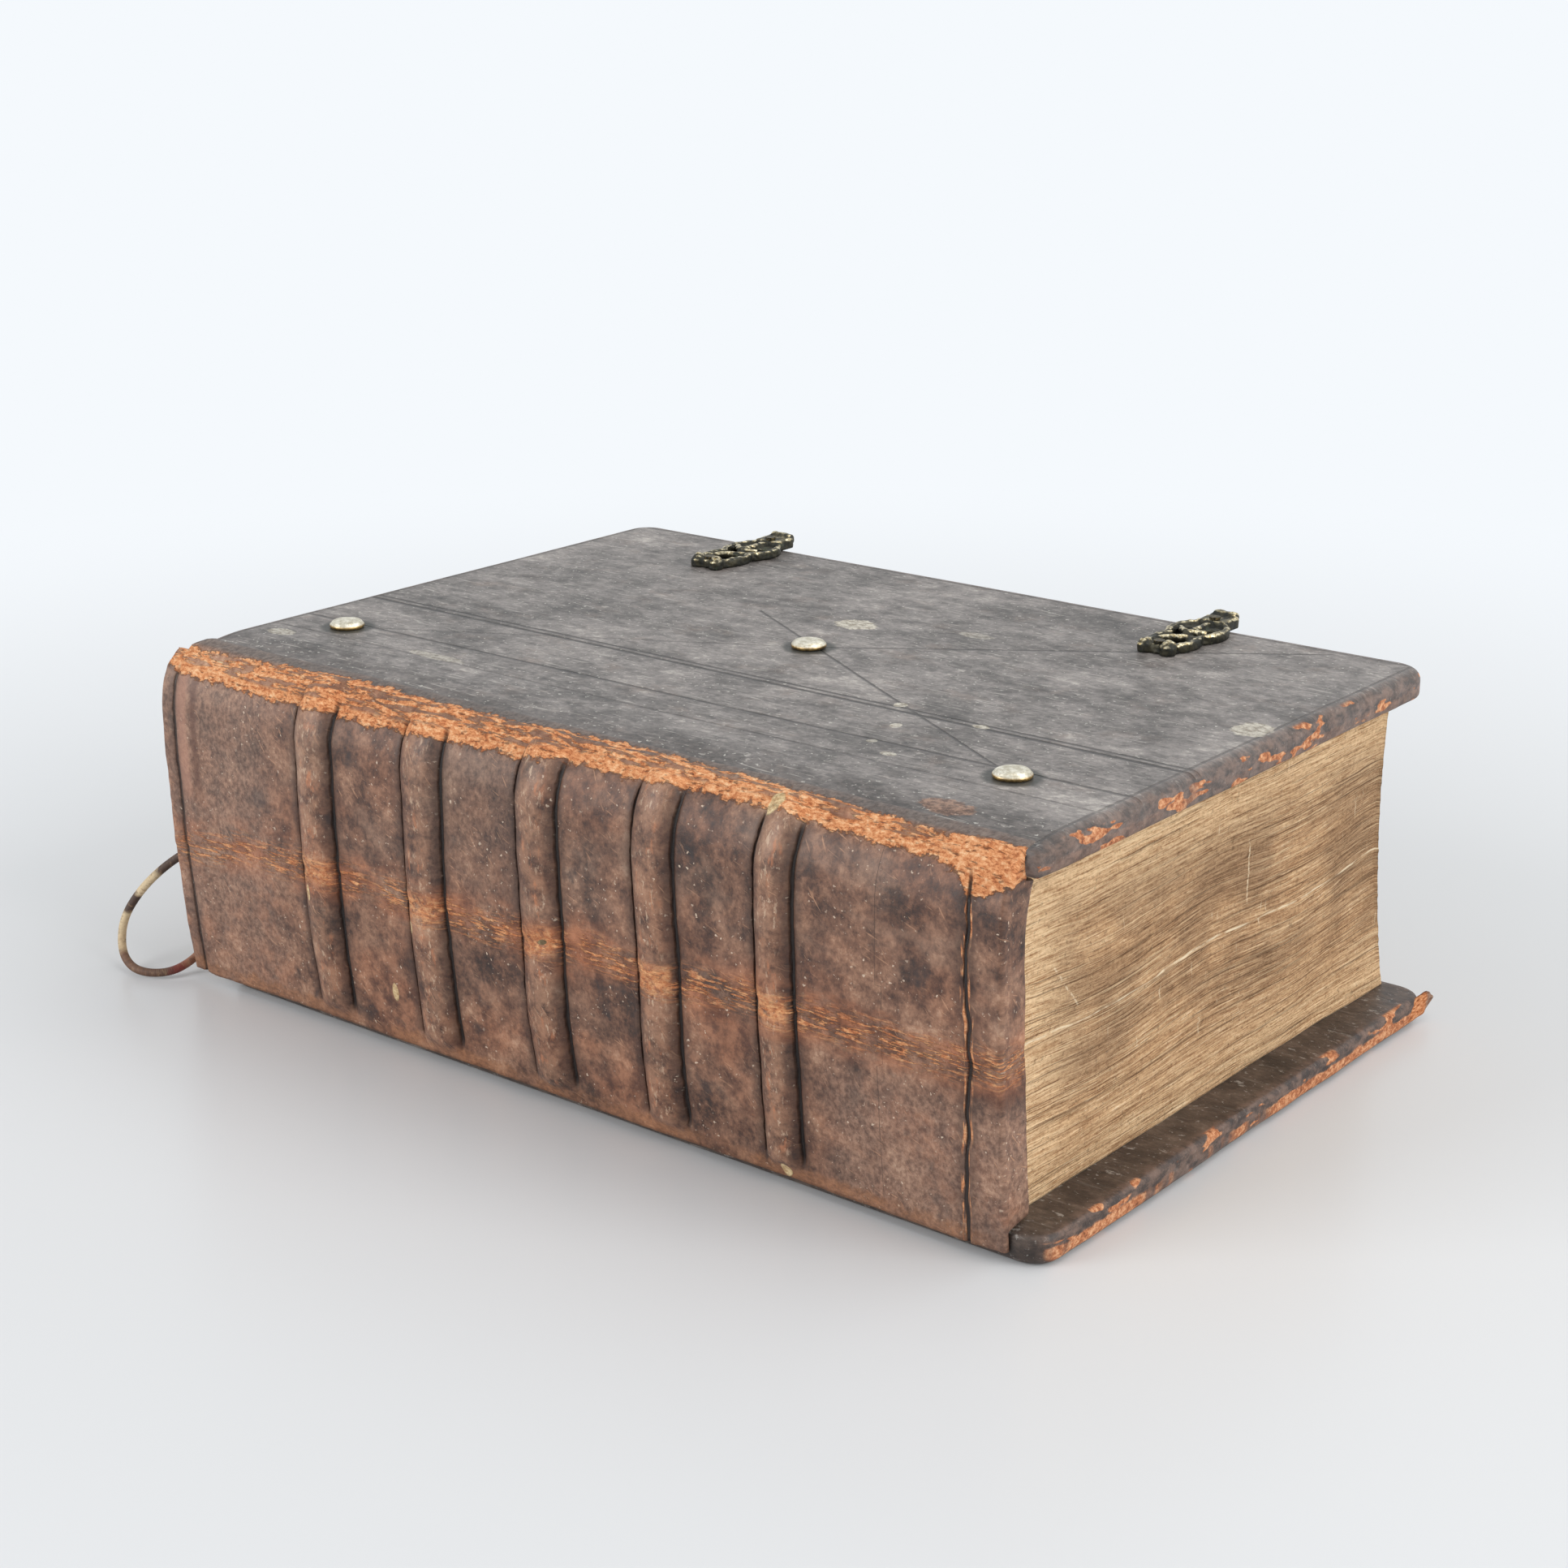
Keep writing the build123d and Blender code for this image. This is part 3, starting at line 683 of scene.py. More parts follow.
def cover_finish(name, low, high, up, lines, scars, bosses, stops, arris_depth, arris_weight):
    """Stained calf, from charcoal on the outer face to worn tan at the edges."""
    finish, shade = start_finish(name)
    x, y, z = places(shade)
    outer = high[2] if up > 0 else low[2]
    depth = (outer - z) * up
    face = depth.step(2.5, 1.0)
    cloud = shade.lumps(x / 34, y / 24, z / 19, 4.0, 0.6)
    patch = shade.lumps(x / 7.5, y / 5.0, z / 5.0, 5.0, 0.7)
    mottle = shade.lumps(x / 2.1, y / 1.5, z / 1.5, 4.0, 0.7)
    tone = cloud * 0.36 + patch * 0.38 + mottle * 0.26
    stop_places = (0.38, 0.455, 0.515, 0.575, 0.65)
    leather = tone.ramp(zip(stop_places, stops))
    brown = shade.lumps(x / 17 + 5, y / 12, z / 12, 5.0, 0.65).step(0.53, 0.70)
    leather = (brown * 0.42).mix(leather, patch.tones(0.36, 0.64, (72, 58, 52), (124, 106, 94)))
    joint_dark = (y - low[1] + patch * 16 - 8).step(24, 7) * depth.step(6, 3) * (0.5 if up > 0 else 0.0)
    leather = joint_dark.mix(leather, mottle.tones(0.35, 0.65, (44, 39, 37), (82, 74, 70)))
    scored = shade.lumps(x / 20, y / 0.9, z / 2 + 7, 2.0).step(0.63, 0.69)
    leather = (scored * (face * 0.37 + 0.08)).mix(leather, (48, 44, 42))
    scuffed = shade.lumps(x / 13, y / 1.0, z / 2 + 4, 3.0).step(0.62, 0.68)
    grazed = shade.lumps(x / 5.5, y / 3.0, z / 3 + 17, 5.0, 0.65).step(0.61, 0.68)
    scuffed = (scuffed * (face * 0.8 + 0.2)).most(grazed)
    leather = (scuffed * 0.42).mix(leather, (196, 190, 182))
    flecks = shade.lumps(x / 1.5, y / 1.3, z / 1.2 + 9, 2.0).step(0.655, 0.71)
    leather = (flecks * (0.7 if up > 0 else 0.35)).mix(leather, (198, 194, 186))
    pressed = most_of(ruled(x, y, start, end, wide) * weight for start, end, wide, weight in lines)
    pressed = pressed * face * patch.step(0.24, 0.40)
    leather = (pressed * 0.8).mix(leather, (32, 29, 28))
    bare = []
    for place, wide, deep, weight, tones in scars:
        bare.append(scar(shade, x, y, place, wide, deep) * face * weight)
        leather = bare[-1].mix(leather, mottle.tones(0.38, 0.60, *tones))
    bare = most_of(bare)
    ringed = []
    for boss_x, boss_y in bosses:
        off_x, off_y = x - boss_x, y - boss_y
        ringed.append((off_x * off_x + off_y * off_y + patch * 24 - 12).step(84, 46))
    leather = (most_of(ringed) * face * 0.85).mix(leather, (30, 33, 28))
    edge_x = (x - low[0]).least(high[0] - x)
    edge_y = high[1] - y
    edge = edge_x.least(edge_y)
    ragged = shade.lumps(x / 5, y / 5, z / 2.6, 5.0, 0.68)
    rim_brown = edge.step(5, 0.6) * 0.75
    rim_stops = ragged.tones(0.36, 0.66, (50, 40, 37), (124, 100, 88))
    leather = rim_brown.mix(leather, rim_stops)
    chips = shade.lumps(x / 13, y / 13, z / 4.0 + 5, 2.5, 0.5).step(0.585, 0.61)
    chips = chips * shade.lumps(x / 46, y / 46, 2.0, 2.0).step(0.42, 0.50)
    arris = (abs(depth - arris_depth) - ragged * 3 + 1.0).step(1.7, 0.9)
    arris = arris * shade.lumps(x / 24, y / 24, 9.0, 4.0).step(0.40, 0.50)
    edge_wear = chips.most(arris * arris_weight) * edge.step(2.6, 1.2)
    suede = shade.lumps(x / 1.6, y / 1.6, z / 1.3, 5.0, 0.72)
    tan_tones = [(0.34, (118, 66, 40)), (0.48, (188, 116, 72)), (0.64, (232, 178, 134))]
    leather = (edge_wear * 0.9).mix(leather, suede.ramp(tan_tones))
    grain = shade.lumps(x / 0.8, y / 0.6, z / 0.6, 3.0)
    relief = grain * 0.22 + mottle * 0.4 + patch * 0.5 + ragged * edge.step(6, 0) * 1.2
    relief = relief - pressed * 2.2 - bare * 0.3
    rough = 0.4 + mottle * 0.2 + edge_wear * 0.3 + bare * 0.2
    close_finish(shade, leather, relief, depth=0.24, rough=rough, gloss=0.45)
    return finish


boss_nodes = ("head_boss", "centre_boss", "tail_boss")
boss_places = [sum(box_of(node))[:2] / 2 for node in boss_nodes]
# A blind line's two ends, half its width, and how deep it is pressed.
upper_lines = [
    ((-150, -28.4), (150, -26.4), 1.0, 1.0),
    ((-150, -25.4), (150, -23.6), 0.8, 0.9),
    ((-150, -55.0), (150, -51.5), 0.85, 0.85),
    ((-150, -68.5), (150, -66.5), 0.7, 0.5),
    ((114.9, -56.5), (-40.0, 34.0), 0.6, 0.85),
    ((-1.8, 9.6), (122.0, 97.5), 0.65, 0.8),
    ((-1.8, 9.6), (-124.8, -58.9), 0.6, 0.45),
    ((146.0, -96.0), (146.0, 104.0), 0.6, 0.6),
    ((-146.0, -96.0), (-146.0, 104.0), 0.6, 0.6),
    ((-150.0, 100.5), (150.0, 100.5), 0.6, 0.6),
]
pale_bare = ((150, 140, 124), (222, 216, 202))
brown_bare = ((92, 66, 54), (166, 130, 108))
# A bare patch's middle, its reach along the spine and across, how bare it is, and its tones.
upper_scars = [
    ((-6.9, 39.0), 7.0, 5.4, 0.8, pale_bare),
    ((141.5, 17.0), 5.6, 6.6, 0.7, pale_bare),
    ((115.2, -85.2), 8.0, 4.4, 0.7, brown_bare),
    ((-136.0, -75.0), 5.0, 3.0, 0.55, pale_bare),
    ((29.0, 51.0), 6.0, 2.6, 0.32, pale_bare),
    ((-80.0, -66.0), 11.0, 2.4, 0.4, pale_bare),
    ((55.0, -22.2), 2.2, 2.0, 0.8, pale_bare),
    ((65.4, -38.5), 1.7, 2.0, 0.7, pale_bare),
    ((83.9, -25.6), 2.6, 1.6, 0.8, pale_bare),
    ((79.0, -60.1), 2.4, 1.5, 0.65, pale_bare),
    ((68.7, -53.7), 1.5, 1.4, 0.55, pale_bare),
]
charcoal_tones = ((52, 48, 46), (92, 87, 84), (120, 114, 111), (144, 137, 133), (186, 179, 172))
charcoal_calf = cover_finish(
    "charcoal_calf",
    upper_low,
    upper_high,
    up=1,
    lines=upper_lines,
    scars=upper_scars,
    bosses=boss_places,
    stops=charcoal_tones,
    arris_depth=6.9,
    arris_weight=0.1,
)
upper_cover = make_cover(
    "upper_cover_calf", upper_low, upper_high, 1, charcoal_calf, back_square=0.85, back_round=1.2, seed=71
)
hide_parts("upper_cover_leather")
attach(upper_cover, "upper_cover")
lower_lines = [
    ((-144, -30.5), (156, -30.5), 0.75, 1.0),
    ((-144, -27.6), (156, -27.6), 0.6, 0.7),
    ((151.0, -96.0), (151.0, 104.0), 0.5, 0.7),
    ((-139.0, -96.0), (-139.0, 104.0), 0.5, 0.6),
    ((-144.0, 100.5), (156.0, 100.5), 0.5, 0.7),
    ((6.0, 4.0), (121.0, -62.0), 0.55, 0.7),
    ((6.0, 4.0), (-109.0, -62.0), 0.55, 0.7),
]
umber_tones = ((38, 31, 28), (61, 50, 44), (79, 66, 58), (97, 83, 73), (132, 116, 103))
umber_calf = cover_finish(
    "umber_calf",
    lower_low,
    lower_high,
    up=-1,
    lines=lower_lines,
    scars=[],
    bosses=[],
    stops=umber_tones,
    arris_depth=3.4,
    arris_weight=1.0,
)
lower_cover = make_cover(
    "lower_cover_calf", lower_low, lower_high, -1, umber_calf, back_square=0, back_round=outer_round, seed=91
)
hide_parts("lower_cover_leather")
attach(lower_cover, "lower_cover")

# Torn tab: a tongue of the lower cover's calf, lifted off the board at its tail corner. The grain
# side has gone and leaves the fibrous orange flesh, with some dark grain at its tip.
tab_run = (
    (155.4, 88.0, 3.4), (155.9, 93.0, 4.2), (156.4, 98.5, 5.0), (156.8, 103.5, 5.8), (156.6, 108.6, 6.4),
)
tab_widths = (3.2, 4.8, 6.0, 6.2, 4.6)
tab_thick = 0.9
tip_start = 3.2
tip_run = 0.82
tab_curl = 0.5
tab_cockle = 0.35
tab_fray = 0.5


def through(spots, share):
    """Points along a line through a few spots, at shares that count from the first spot."""
    return np.stack([np.interp(share, np.arange(len(spots)), part) for part in zip(*spots)], -1)


def double_skin(outer, inner):
    """Points and faces of a closed skin between two sheets with the same rows and columns."""
    rows, columns = outer.shape[:2]
    count = rows * columns
    rim = rim_line(rows, columns)
    after = np.roll(rim, -1)
    faces = grid_faces(rows, columns) + [face[::-1] for face in grid_faces(rows, columns, count)]
    faces += np.stack([rim + count, after + count, after, rim], -1).tolist()
    return np.concatenate([outer.reshape(-1, 3), inner.reshape(-1, 3)]), faces


share = np.linspace(0, len(tab_run) - 1, 26)
tab_line = through(tab_run, share)
tab_half = np.interp(share, np.arange(len(tab_run)), tab_widths) / 2
tip = np.clip((share - tip_start) / tip_run, 0, 1)
tab_half = tab_half * np.sqrt(np.clip(1 - tip**2, 0.02, 1))
across = np.linspace(-1, 1, 11)
tab_z = tab_line[:, 2:3] + tab_half[:, None] * across
tab_x = tab_line[:, :1] + tab_cockle * wander(share[:, None] * 3, across * 3, 1.7, 120)
tab_x = tab_x - tab_curl * across**2
frayed = tab_fray * wander(across * 4, 0 * share[:, None], 1.3, 121)
tab_y = tab_line[:, 1:2] + frayed * smooth(share, 2.6, 4.0)[:, None]
tab_outer = np.stack([tab_x, tab_y, tab_z], -1)
tab_inner = tab_outer - np.array([tab_thick, 0, 0])
torn_flesh, shade = start_finish("torn_orange_flesh")
x, y, z = places(shade)
fibre = shade.lumps(x / 0.7, y / 2.4, z / 0.7, 5.0, 0.7)
flesh = fibre.ramp([(0.34, (112, 62, 36)), (0.48, (192, 118, 72)), (0.64, (232, 176, 130))])
tip = (y + fibre * 6).step(106.0, 108.5)
flesh = (tip * 0.8).mix(flesh, fibre.tones(0.36, 0.62, (86, 70, 62), (148, 130, 118)))
close_finish(shade, flesh, fibre, depth=0.5, rough=0.88, gloss=0.25)
torn_tab = make_piece("torn_calf_tab", *double_skin(tab_outer, tab_inner), torn_flesh)
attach(torn_tab, "lower_cover")

# Spine leather: one skin of calf moulded over the cords with nippers, so that they stand up
# as raised bands, and drawn over head and tail. Its upper joint has worn through to the suede.
band_places = (-90.0, -46.7, -2.4, 38.4, 78.0)
band_halves = (7.3, 7.6, 7.4, 6.9, 6.1)
head_line = -150.2
page_tail = page_high[0]
fold_depth = 10.4
lip_depth = 2.4
lip_round = 1.3
skin_row = 1.15
skin_column = 1.7
row_zones = [(48.0, 5.0, 1.4), (102.0, 7.0, 1.2)]
joint_lap = 8.0
groove_depth = 0.8
groove_half = 0.75
crease_depth = 0.4
crease_half = 0.9
head_swell = -144.6
head_swell_half = 3.6
head_swell_rise = 0.55
tail_step = 0.3
split_height = 103.6
split_depth = 0.5
split_half = 0.7
crack_run = ((0, 134.6), (11, 134.7), (52, 136.8), (73, 135.7), (89, 136.2), (101, 134.3))
crack_place = crack_run[2][1]
crease_run = (
    (-156, 40.5), (-150, 41.0), (-124, 47.0), (-75, 48.0), (-46, 46.3), (-15, 46.5), (19, 48.8),
    (38, 46.9), (63, 49.4), (80, 49.9), (102, 49.0), (148, 49.8),
)
torn_low_run = (
    (-156, 97.5), (-143, 96.2), (-110, 95.4), (-54, 95.4), (-35, 96.8), (-11, 97.0), (6, 99.2), (34, 99.2),
    (55, 100.4), (76, 100.4), (99, 99.1), (123, 98.6), (131, 97.0), (135, 92.0), (140, 92.5), (146, 96.5),
    (158, 98.0),
)
torn_high_run = (
    (-149, 105.9), (-118, 106.8), (-83, 109.5), (-43, 108.5), (-16, 108.5), (14, 110.8), (40, 110.2),
    (70, 109.2), (94, 108.2), (120, 106.5), (146, 109.0),
)


def spaced(low, high, wide, zones):
    """Places from low to high, closer together in the zones given as middle, reach and step."""
    fine = np.arange(low, high, 0.05)
    density = np.full(len(fine), 1 / wide)
    for middle, reach, step in zones:
        density += smooth(abs(fine - middle), reach * 1.4, reach * 0.7) / step
    count = np.cumsum(density) * 0.05
    return np.interp(np.linspace(0, count[-1], int(count[-1]) + 1), count, fine)


def on_run(run, place):
    """The height of a line of given points at a place."""
    return np.interp(place, [point[0] for point in run], [point[1] for point in run])


def rounded(inward):
    """How far a rounded lip falls away at a distance in from its end."""
    left = np.clip(1 - inward / lip_round, 0, 0.999)
    return lip_round * (1 - np.sqrt(1 - left**2))


# A place on the skin is its x along the spine and s, its run up the skin from the lower edge.
path_z = np.append(np.arange(spine_low[2], spine_high[2], 0.1), spine_high[2])
path_y = back_line(path_z)
lap = np.linspace(0.2, joint_lap, 60)
path_y = np.append(path_y, hinge_place + lap)
path_z = np.append(path_z, upper_high[2] - cover_roll(hinge_place + lap))
path_s = np.append(0, np.cumsum(np.hypot(np.diff(path_y), np.diff(path_z))))
hinge_s = path_s[-1] - joint_lap
rows_s = spaced(0, path_s[-1], skin_row, row_zones)
groove_lines = [place + side * half for place, half in zip(band_places, band_halves) for side in (-1, 1)]
groove_lines += [head_line, crack_place]
zones = [(line, 1.7, 0.55) for line in groove_lines] + [(place, 6.0, 1.4) for place in band_places]
zones += [(spine_low[0], 2.0, 0.5), (spine_high[0], 2.0, 0.5), (page_tail, 0.6, 0.3)]
columns_x = spaced(spine_low[0], spine_high[0], skin_column, zones)
columns_x[-1] = spine_high[0]
columns_x = np.append(columns_x, spine_high[0] + fold_depth * np.linspace(0, 1, 13)[1:])
skin_x, skin_s = np.meshgrid(columns_x, rows_s)
reach = hinge_s - 1.5 + (joint_lap + 1.5) * smooth(skin_x, upper_low[0] - 1.5, upper_low[0] + 2.0)
skin_s = skin_s * reach / path_s[-1]
base_y = np.interp(skin_s, path_s, path_y)
base_z = np.interp(skin_s, path_s, path_z)
even = np.ones(21) / 21
slope_y, slope_z = (
    np.interp(skin_s, path_s, np.convolve(np.gradient(part), even, "same")) for part in (path_y, path_z)
)
slope = np.hypot(slope_y, slope_z)
out_y, out_z = -slope_z / slope, slope_y / slope

off_crease = skin_s - on_run(crease_run, skin_x) - 0.8 * waver(skin_x, 7.0, 5)
ends_fade = smooth(skin_s, 100.0, 95.0)
ridge = np.zeros_like(skin_x)
cut = skin_x - on_run(crack_run, skin_s) - 0.5 * waver(skin_s, 6.0, 9)
cut_depth = ends_fade
band_ends = smooth(skin_s, 0.8, 7.5) * smooth(skin_s, 106.0, 100.5)
for number, (place, half) in enumerate(zip(band_places, band_halves)):
    stray = 0.55 * wander(skin_s, 0 * skin_s + 3.0, 26.0, 40 + number)
    off = abs(skin_x - place - stray)
    rise = np.clip(1 - (off / (half - 0.2)) ** 2, 0, 1) ** 0.72
    rub = 1 + 0.09 * waver(skin_s, 11.0, 60 + number)
    ridge += band_height * rise * band_ends * rub * (1 - 0.3 * bell(off_crease, 3.2))
    line = off - half
    nearer = abs(line) < abs(cut)
    cut_depth = np.where(nearer, smooth(skin_s, 3.0, 8.0) * smooth(skin_s, 102.0, 96.0), cut_depth)
    cut = np.where(nearer, line, cut)
head_off = skin_x - head_line - 0.5 * waver(skin_s, 20.0, 8)
nearer = abs(head_off) < abs(cut)
cut_depth = np.where(nearer, 0.8 * ends_fade, cut_depth)
cut = np.where(nearer, head_off, cut)
relief = ridge - groove_depth * bell(cut, groove_half) * cut_depth
relief += head_swell_rise * bell(skin_x - head_swell, head_swell_half) * ends_fade
relief -= tail_step * smooth(skin_x, crack_place, crack_place + 1.2)
relief += 0.34 * wander(skin_x, skin_s, 27.0, 1) + 0.18 * wander(skin_x, skin_s, 8.0, 2)
relief += 0.08 * wander(skin_x, skin_s, 2.6, 3)
relief -= crease_depth * bell(off_crease, crease_half) * (0.5 + 0.5 * waver(skin_x, 14.0, 6))
relief += 0.25 * bell(off_crease - 2.6, 1.8)
torn_low = skin_s - on_run(torn_low_run, skin_x)
torn_high = on_run(torn_high_run, skin_x) - skin_s
joint = smooth(torn_low, -2.0, 1.0) * smooth(torn_high, -2.0, 1.0)
relief += joint * (0.3 * wander(skin_x, skin_s, 3.4, 14) + 0.22 * wander(skin_x, skin_s, 1.6, 15) - 0.15)
split = bell(skin_s - split_height - waver(skin_x, 12.0, 16), split_half) * (waver(skin_x, 9.0, 17) > -0.2)
relief -= split_depth * joint * split
lapped = smooth(skin_s, hinge_s - 1.0, hinge_s + 1.5)
relief = relief * (1 - 0.6 * lapped) + 0.22 * lapped
relief -= 0.75 * smooth(skin_s, hinge_s + joint_lap - 3.0, hinge_s + joint_lap)
relief -= rounded(skin_x - spine_low[0])
relief -= rounded(spine_high[0] - skin_x)
shut = smooth(base_z, page_bottom + 0.1, page_bottom + 0.9) * smooth(base_z, page_top - 0.1, page_top - 0.9)
fold = np.maximum(skin_x - spine_high[0], 0)
skin_end = spine_high[0] - rounded(fold_depth - fold)
skin_end += (0.25 * wander(fold, skin_s, 5.0, 18) - 0.2) * smooth(fold, 0.0, 2.0)
outer_x = np.where(fold > 0, skin_end, skin_x)
joint_gap = np.clip(hinge_place - 0.5 - base_y, 0, fold) * smooth(base_z, page_top - 0.9, page_top - 0.1)
tucked = fold * shut + joint_gap
outer_skin = np.stack([outer_x, base_y + relief * out_y + tucked, base_z + relief * out_z], -1)
thick = 0 * skin_x + spine_skin - 0.1
thick += (lip_depth - spine_skin) * smooth(skin_x, page_low[0] - 0.5, page_low[0] - 2.0)
thick *= 1 - 0.55 * smooth(skin_s, hinge_s - 4.0, hinge_s)
thick -= 0.5 * np.clip(1 - (skin_x - spine_low[0]) / (0.6 * lip_round), 0, 1)
inner_skin = np.stack([skin_x, base_y - thick * out_y, base_z - thick * out_z], -1)
capped = skin_x > page_tail + 0.2
inner_skin[..., 0] = np.where(capped, page_tail + 0.15, inner_skin[..., 0])
inner_skin[..., 1] = np.where(fold > 0, outer_skin[..., 1], inner_skin[..., 1])

spine_calf, shade = start_finish("mottled_brown_calf")
x, s, rise = carried(shade, "skin")
deep, left_over, off = carried(shade, "wear")
cut_off, cut_shows = carried(shade, "cut")[:2]
cloud = shade.lumps(x / 22, s / 24, 0, 5.0, 0.62)
patch = shade.lumps(x / 6.5, s / 7.5, 3, 5.0, 0.7)
mottle = shade.lumps(x / 1.5, s / 1.9, 14, 4.0, 0.7)
tone = cloud * 0.43 + patch * 0.33 + mottle * 0.24
calf_stops = [
    (0.39, (40, 29, 26)),
    (0.45, (80, 55, 44)),
    (0.505, (117, 84, 67)),
    (0.56, (148, 111, 89)),
    (0.63, (190, 155, 130)),
]
leather = tone.ramp(calf_stops)
reddish = shade.lumps(x / 28 + 9, s / 24, 3, 4.0).step(0.42, 0.62) * (s.step(80, 25) * 0.6 + 0.4)
leather = (reddish * 0.5).mix(leather, patch.tones(0.38, 0.62, (100, 60, 44), (176, 118, 86)))
greyed = shade.lumps(x / 25 + 31, s / 17, 5, 4.0).step(0.47, 0.66) * (s.step(20, 85) * 0.6 + 0.3)
leather = (greyed * 0.34).mix(leather, patch.tones(0.38, 0.62, (86, 72, 64), (152, 130, 114)))
blots = shade.lumps(x / 12 + 5, s / 15 + 3, 8, 5.0, 0.6).step(0.58, 0.70)
leather = (blots * 0.66).mix(leather, (46, 41, 42))
specks = shade.lumps(x / 2.6, s / 2.6, 11, 3.0).step(0.63, 0.72)
leather = (specks * 0.4).mix(leather, (54, 42, 39))
lit = x.step(-98, -120).most(x.step(84, 100) * s.step(46, 30))
leather = (lit * 0.3).mix(leather, mottle.tones(0.36, 0.64, (126, 98, 84), (188, 156, 136)))
dimmed = abs(x + 25).step(26, 16) * s.step(48, 60)
leather = (dimmed * 0.35).mix(leather, mottle.tones(0.36, 0.64, (70, 56, 49), (120, 99, 87)))
fibre = shade.lumps((x + s * 0.7) / 1.1, (s - x * 0.7) / 12, 20, 2.0).step(0.66, 0.70)
fibre = fibre.most(shade.lumps((x - s * 0.4) / 9, (s + x * 0.4) / 0.9, 22, 2.0).step(0.66, 0.70))
fibre = fibre * shade.lumps(x / 17, s / 17, 23).step(0.40, 0.60)
leather = (fibre * 0.5).mix(leather, (196, 150, 118))
flecks = shade.lumps(x / 1.3, s / 1.4, 25, 2.0).step(0.645, 0.71)
flecks = flecks * shade.lumps(x / 14, s / 12, 27).step(0.42, 0.60)
leather = (flecks * 0.85).mix(leather, (216, 194, 172))
suede = shade.lumps(x / 2.0, s / 1.3, 26, 6.0, 0.78) * 0.8 + cloud * 0.2
tan_stops = [
    (0.34, (116, 64, 37)),
    (0.43, (190, 114, 69)),
    (0.51, (230, 158, 106)),
    (0.62, (253, 208, 162)),
]
tan = suede.ramp(tan_stops)
crest = rise.step(1.5, 2.75)
# Painted highlight: the crests of the bands are lightened in patches.
leather = (crest * patch.step(0.36, 0.62) * 0.45).mix(leather, (164, 124, 98))
# Dirt and painted shade: darker along the bands' flanks and in the panels beside them.
flank_dirt_and_shade = abs(cut_off).step(4.6, 0.5) * cut_shows * patch.step(0.30, 0.54)
leather = (flank_dirt_and_shade * 0.6).mix(leather, (48, 37, 34))
head_fold = s.step(54, 66) * s.step(103, 96)
# Painted highlight: a lighter reddish strip along the raised ridge by the head line, with a brown line beside
# it.
leather = (abs(x + 146.6).step(3.4, 1.2) * head_fold * 0.5).mix(leather, (172, 126, 106))
leather = (abs(x + 141.6).step(2.0, 0.4) * head_fold * 0.6).mix(leather, (84, 52, 42))
rubbed = crest * shade.lumps(x / 3, s / 8, 17, 5.0, 0.65).step(0.55, 0.68)
leather = (rubbed * 0.6).mix(leather, (190, 122, 84))
scuffs = crest * shade.lumps(x / 1.4, s / 4.0, 72, 4.0, 0.7).step(0.56, 0.63) * cloud.step(0.36, 0.54)
leather = (scuffs * 0.6).mix(leather, (206, 178, 152))
glow = abs(off).step(13, 1.0) * shade.lumps(x / 19, s / 9, 38, 5.0, 0.62).step(0.42, 0.60)
leather = (glow * 0.55).mix(leather, patch.tones(0.36, 0.64, (138, 80, 52), (190, 118, 78)))
creased = shade.lumps(x / 7, s / 0.9, 32, 4.0, 0.68).step(0.49, 0.56)
stretches = shade.lumps(x / 16, 0.0, 35).step(0.26, 0.48).most(x.step(84, 94))
crease = abs(off).step(7.5, 0.8) * creased * stretches
band_rub = abs(off - 0.5).step(6.0, 1.0) * rise.step(0.6, 1.6) * (creased * 0.3 + 0.7)
crease = crease.most(band_rub * shade.lumps(x / 2.2, s / 2.2, 36, 3.0).step(0.34, 0.52))
worn_stops = [(0.36, (122, 68, 41)), (0.47, (202, 124, 76)), (0.60, (246, 188, 134))]
leather = (crease * 0.85).mix(leather, suede.ramp(worn_stops))
bared_crest = band_rub * shade.lumps(x / 3.2, s / 2.6, 74, 4.0).step(0.40, 0.52) * x.step(15, 35)
leather = (bared_crest * 0.7).mix(leather, suede.tones(0.36, 0.62, (196, 110, 62), (244, 182, 128)))
tatter = shade.lumps(x / 2.4, s / 1.6, 47, 5.0, 0.68) * 6.0 - 3.0
broad = shade.lumps(x / 8, 0.0, 49, 4.0) * 6.0 - 3.0
torn = (deep + tatter + broad).step(-0.3, 0.7) * (left_over + tatter * 0.9 + broad).step(0.1, 1.0)
remnant = shade.lumps(x / 11, s / 2.0, 50, 5.0, 0.62).step(0.49, 0.55)
remnant = remnant * deep.step(2.6, 4.2) * left_over.step(0.6, 1.6) * 0.85 * x.step(130, 120)
# Painted shadow: a dark line round the ragged edge of the bared suede.
torn_edge_shadow = torn * (1 - torn) * 3.0
torn = torn * (1 - remnant)
leather = torn.mix(leather, tan)
pits = shade.lumps(x / 3.2, s / 1.0, 53, 4.0).step(0.575, 0.67) * torn
# Dark pits in the suede, and the painted shadow round its torn edge.
leather = (pits * 0.65).most(torn_edge_shadow.least(1.0) * 0.6).mix(leather, (76, 44, 28))
lap_dark = s.step(hinge_s - 1.0, hinge_s + 2.0) * (1 - torn)
leather = (lap_dark * 0.8).mix(leather, mottle.tones(0.35, 0.65, (58, 52, 49), (108, 101, 96)))
foot = (s - shade.lumps(x / 5, 0.0, 56, 5.0) * 9 + 1.0).step(1.6, -0.6)
foot = foot * shade.lumps(x / 22, 0.0, 57).step(0.30, 0.6)
leather = (foot * 0.6).mix(leather, suede.tones(0.36, 0.64, (112, 72, 48), (182, 126, 86)))
